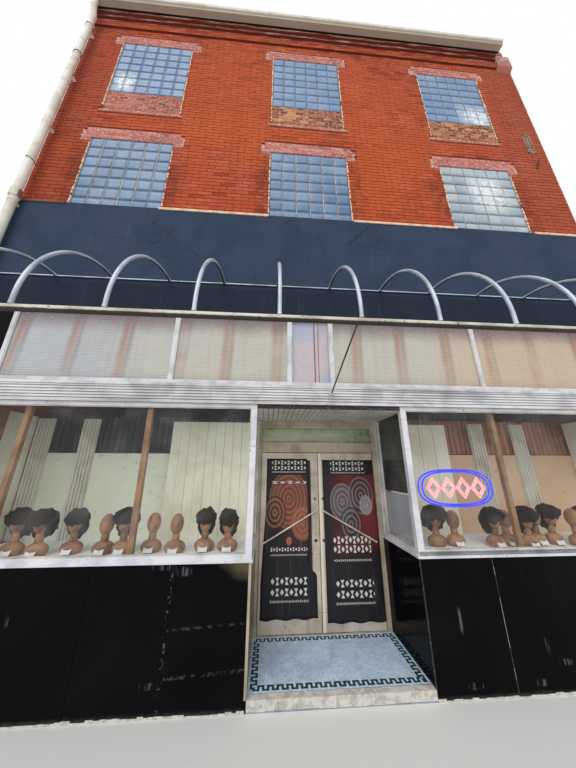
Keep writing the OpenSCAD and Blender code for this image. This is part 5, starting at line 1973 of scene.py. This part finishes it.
@dataclass
class Roofing:
    """Ridge cap of the metal roof, the gutters' brackets and the downspout's ties."""

    slope: float = 1.52 / 6.129
    cap_reach: float = 0.16
    spout: tuple[float, float] = (-4.024, -6.119)

    def build(self) -> None:
        """Builds the ridge cap, the brackets and the ties."""
        left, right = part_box("left_party_wall")[1].x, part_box("right_party_wall")[0].x
        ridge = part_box("front_roof_slope")[1].z - 0.025
        cap = Draft()
        reach, drop = self.cap_reach, -self.cap_reach * self.slope
        section = [(-reach, drop + 0.004), (0.0, 0.004), (reach, drop + 0.004),
                   (reach, drop + 0.034), (0.0, 0.036), (-reach, drop + 0.034)]
        count = len(section)
        points = [(x, y, ridge + z) for x in (left, right) for y, z in section]
        faces: list[Sequence[int]] = [(n, (n + 1) % count, count + (n + 1) % count, count + n)
                                      for n in range(count)]
        faces += [tuple(reversed(range(count))), tuple(range(count, 2 * count))]
        cap.add(points, faces)
        cap.piece("ridge_cap", ROOF_METAL, "roof_metal", bevel=0.004)
        brackets = Draft()
        for node in ("front_gutter", "back_gutter"):
            g_low, g_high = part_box(node)
            x = g_low.x + 0.4
            while x < g_high.x - 0.2:
                brackets.box((x, g_low.y + 0.002, g_high.z - 0.004),
                             (x + 0.025, g_high.y - 0.002, g_high.z + 0.001))
                x += 0.75
        brackets.piece("gutter_brackets", GUTTER_PAINT, "zinc_sheet")
        self._straps()

    def _straps(self) -> None:
        """Thin dark wire loops round the downspout, and the edges of its sleeves."""
        x, y = self.spout
        loops, sleeves = Draft(), Draft()
        for z, tilt in ((8.464, 0.03), (5.895, -0.02), (9.33, 0.02)):
            loops.tube(circle(x, y, z, 0.0505, tilt), 0.0042, 8)
        loops.piece("downspout_ties", OLD_IRON, "galvanised", smooth=True)
        for z in (6.77, 7.7, 5.25):
            sleeves.tube(circle(x, y, z, 0.0478), 0.0022, 8)
        sleeves.piece("downspout_sleeve_rims", SPOUT_PAINT, "white_metal", smooth=True)


@dataclass
class Studio:
    """Pale floor, soft light and the camera at the photograph's viewing angle."""

    place: tuple[float, float, float] = (-0.6705, -8.8166, 1.8879)
    pitch: float = 17.78
    yaw: float = 3.986
    roll: float = 0.106
    focal_pixels: float = 260.23
    long_side: int = 768
    ambient: float = 0.85
    sky: tuple[float, float, float, float] = (0.97, 0.985, 1.0, 1.0)
    key: float = 1.1
    key_from: tuple[float, float, float] = (-0.35, -1.0, 1.05)
    floor_reach: float = 70.0

    def build(self) -> None:
        """Sets floor, world, key light and camera."""
        self._floor()
        self._world()
        self._key()
        self._camera()
        bpy.context.scene.view_settings.view_transform = "Standard"

    def _floor(self) -> None:
        """Plain pale floor, level with the walls' base."""
        mesh = bpy.data.meshes.new("studio_floor")
        r = self.floor_reach
        mesh.from_pydata([(-r, -r, 0), (r, -r, 0), (r, r, 0), (-r, r, 0)], [], [(0, 1, 2, 3)])
        floor = bpy.data.objects.new("studio_floor", mesh)
        bpy.context.scene.collection.objects.link(floor)
        g = Graph("studio_floor")
        g.base(g.cloud(3, 2), 0xdededc, 0xe2e2e0)
        mesh.materials.append(g.close(g.surface(0.9)))

    def _world(self) -> None:
        """White surroundings, seen as white and lighting the object at a plain level."""
        world = bpy.data.worlds.new("studio")
        bpy.context.scene.world = world
        world.use_nodes = True
        nodes = Nodes(world.node_tree)
        rays = nodes.node("ShaderNodeLightPath").outputs
        seen = nodes.node("ShaderNodeBackground", {}, {"Color": (1.0, 1.0, 1.0, 1.0)})
        lit = nodes.node("ShaderNodeBackground", {}, {"Color": self.sky, "Strength": self.ambient})
        either = nodes.node("ShaderNodeMath", {"operation": "MAXIMUM"},
                            {0: rays["Is Camera Ray"], 1: rays["Is Transmission Ray"]})
        shown = nodes.node("ShaderNodeMath", {"operation": "MAXIMUM"},
                           {0: either.outputs[0], 1: rays["Is Glossy Ray"]})
        mix = nodes.node("ShaderNodeMixShader", {},
                         {0: shown.outputs[0], 1: lit.outputs[0], 2: seen.outputs[0]})
        nodes.node("ShaderNodeOutputWorld", {}, {"Surface": mix.outputs[0]})

    def _key(self) -> None:
        """Soft sun from the upper left of the street."""
        lamp = bpy.data.lights.new("soft_key", "SUN")
        lamp.energy = self.key
        lamp.angle = math.radians(40)
        lamp.color = (1.0, 0.985, 0.96)
        made = bpy.data.objects.new("soft_key", lamp)
        made.rotation_euler = Vector(self.key_from).to_track_quat("Z", "Y").to_euler()
        bpy.context.scene.collection.objects.link(made)

    def _camera(self) -> None:
        """Camera where the photograph was taken."""
        pitch, yaw, roll = (math.radians(a) for a in (self.pitch, self.yaw, self.roll))
        ahead = Vector((math.sin(yaw) * math.cos(pitch), math.cos(yaw) * math.cos(pitch), math.sin(pitch)))
        level = Vector((math.cos(yaw), -math.sin(yaw), 0.0))
        upright = level.cross(ahead)
        right = level * math.cos(roll) + upright * math.sin(roll)
        up = upright * math.cos(roll) - level * math.sin(roll)
        data = bpy.data.cameras.new("street_view")
        data.sensor_width = 36.0
        data.lens = self.focal_pixels / self.long_side * data.sensor_width
        camera = bpy.data.objects.new("street_view", data)
        turn = Matrix((right, up, -ahead)).transposed().to_4x4()
        camera.matrix_world = Matrix.Translation(self.place) @ turn
        bpy.context.scene.collection.objects.link(camera)
        bpy.context.scene.camera = camera


def dress_nodes() -> None:
    """Gives every carried-over solid its finish."""
    for finish, names in NODE_FINISHES:
        for name in names.split():
            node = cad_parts[name]
            if not node.material_slots:
                node.data.materials.append(finish.material())
            for slot in node.material_slots:
                slot.material = finish.material()
            LOG.info("%s: finish %s", name, finish.title)


def main() -> None:
    """Builds the studio, dresses the solids and adds every sub-assembly."""
    logging.basicConfig(level=logging.INFO, format="%(name)s: %(message)s")
    Studio().build()
    dress_nodes()
    for assembly in (FrontWall, GlassBlocks, Awning, Shopfront, Entrance, Piers, BackWall, Roofing):
        assembly().build()


if __name__ == "__main__":
    main()
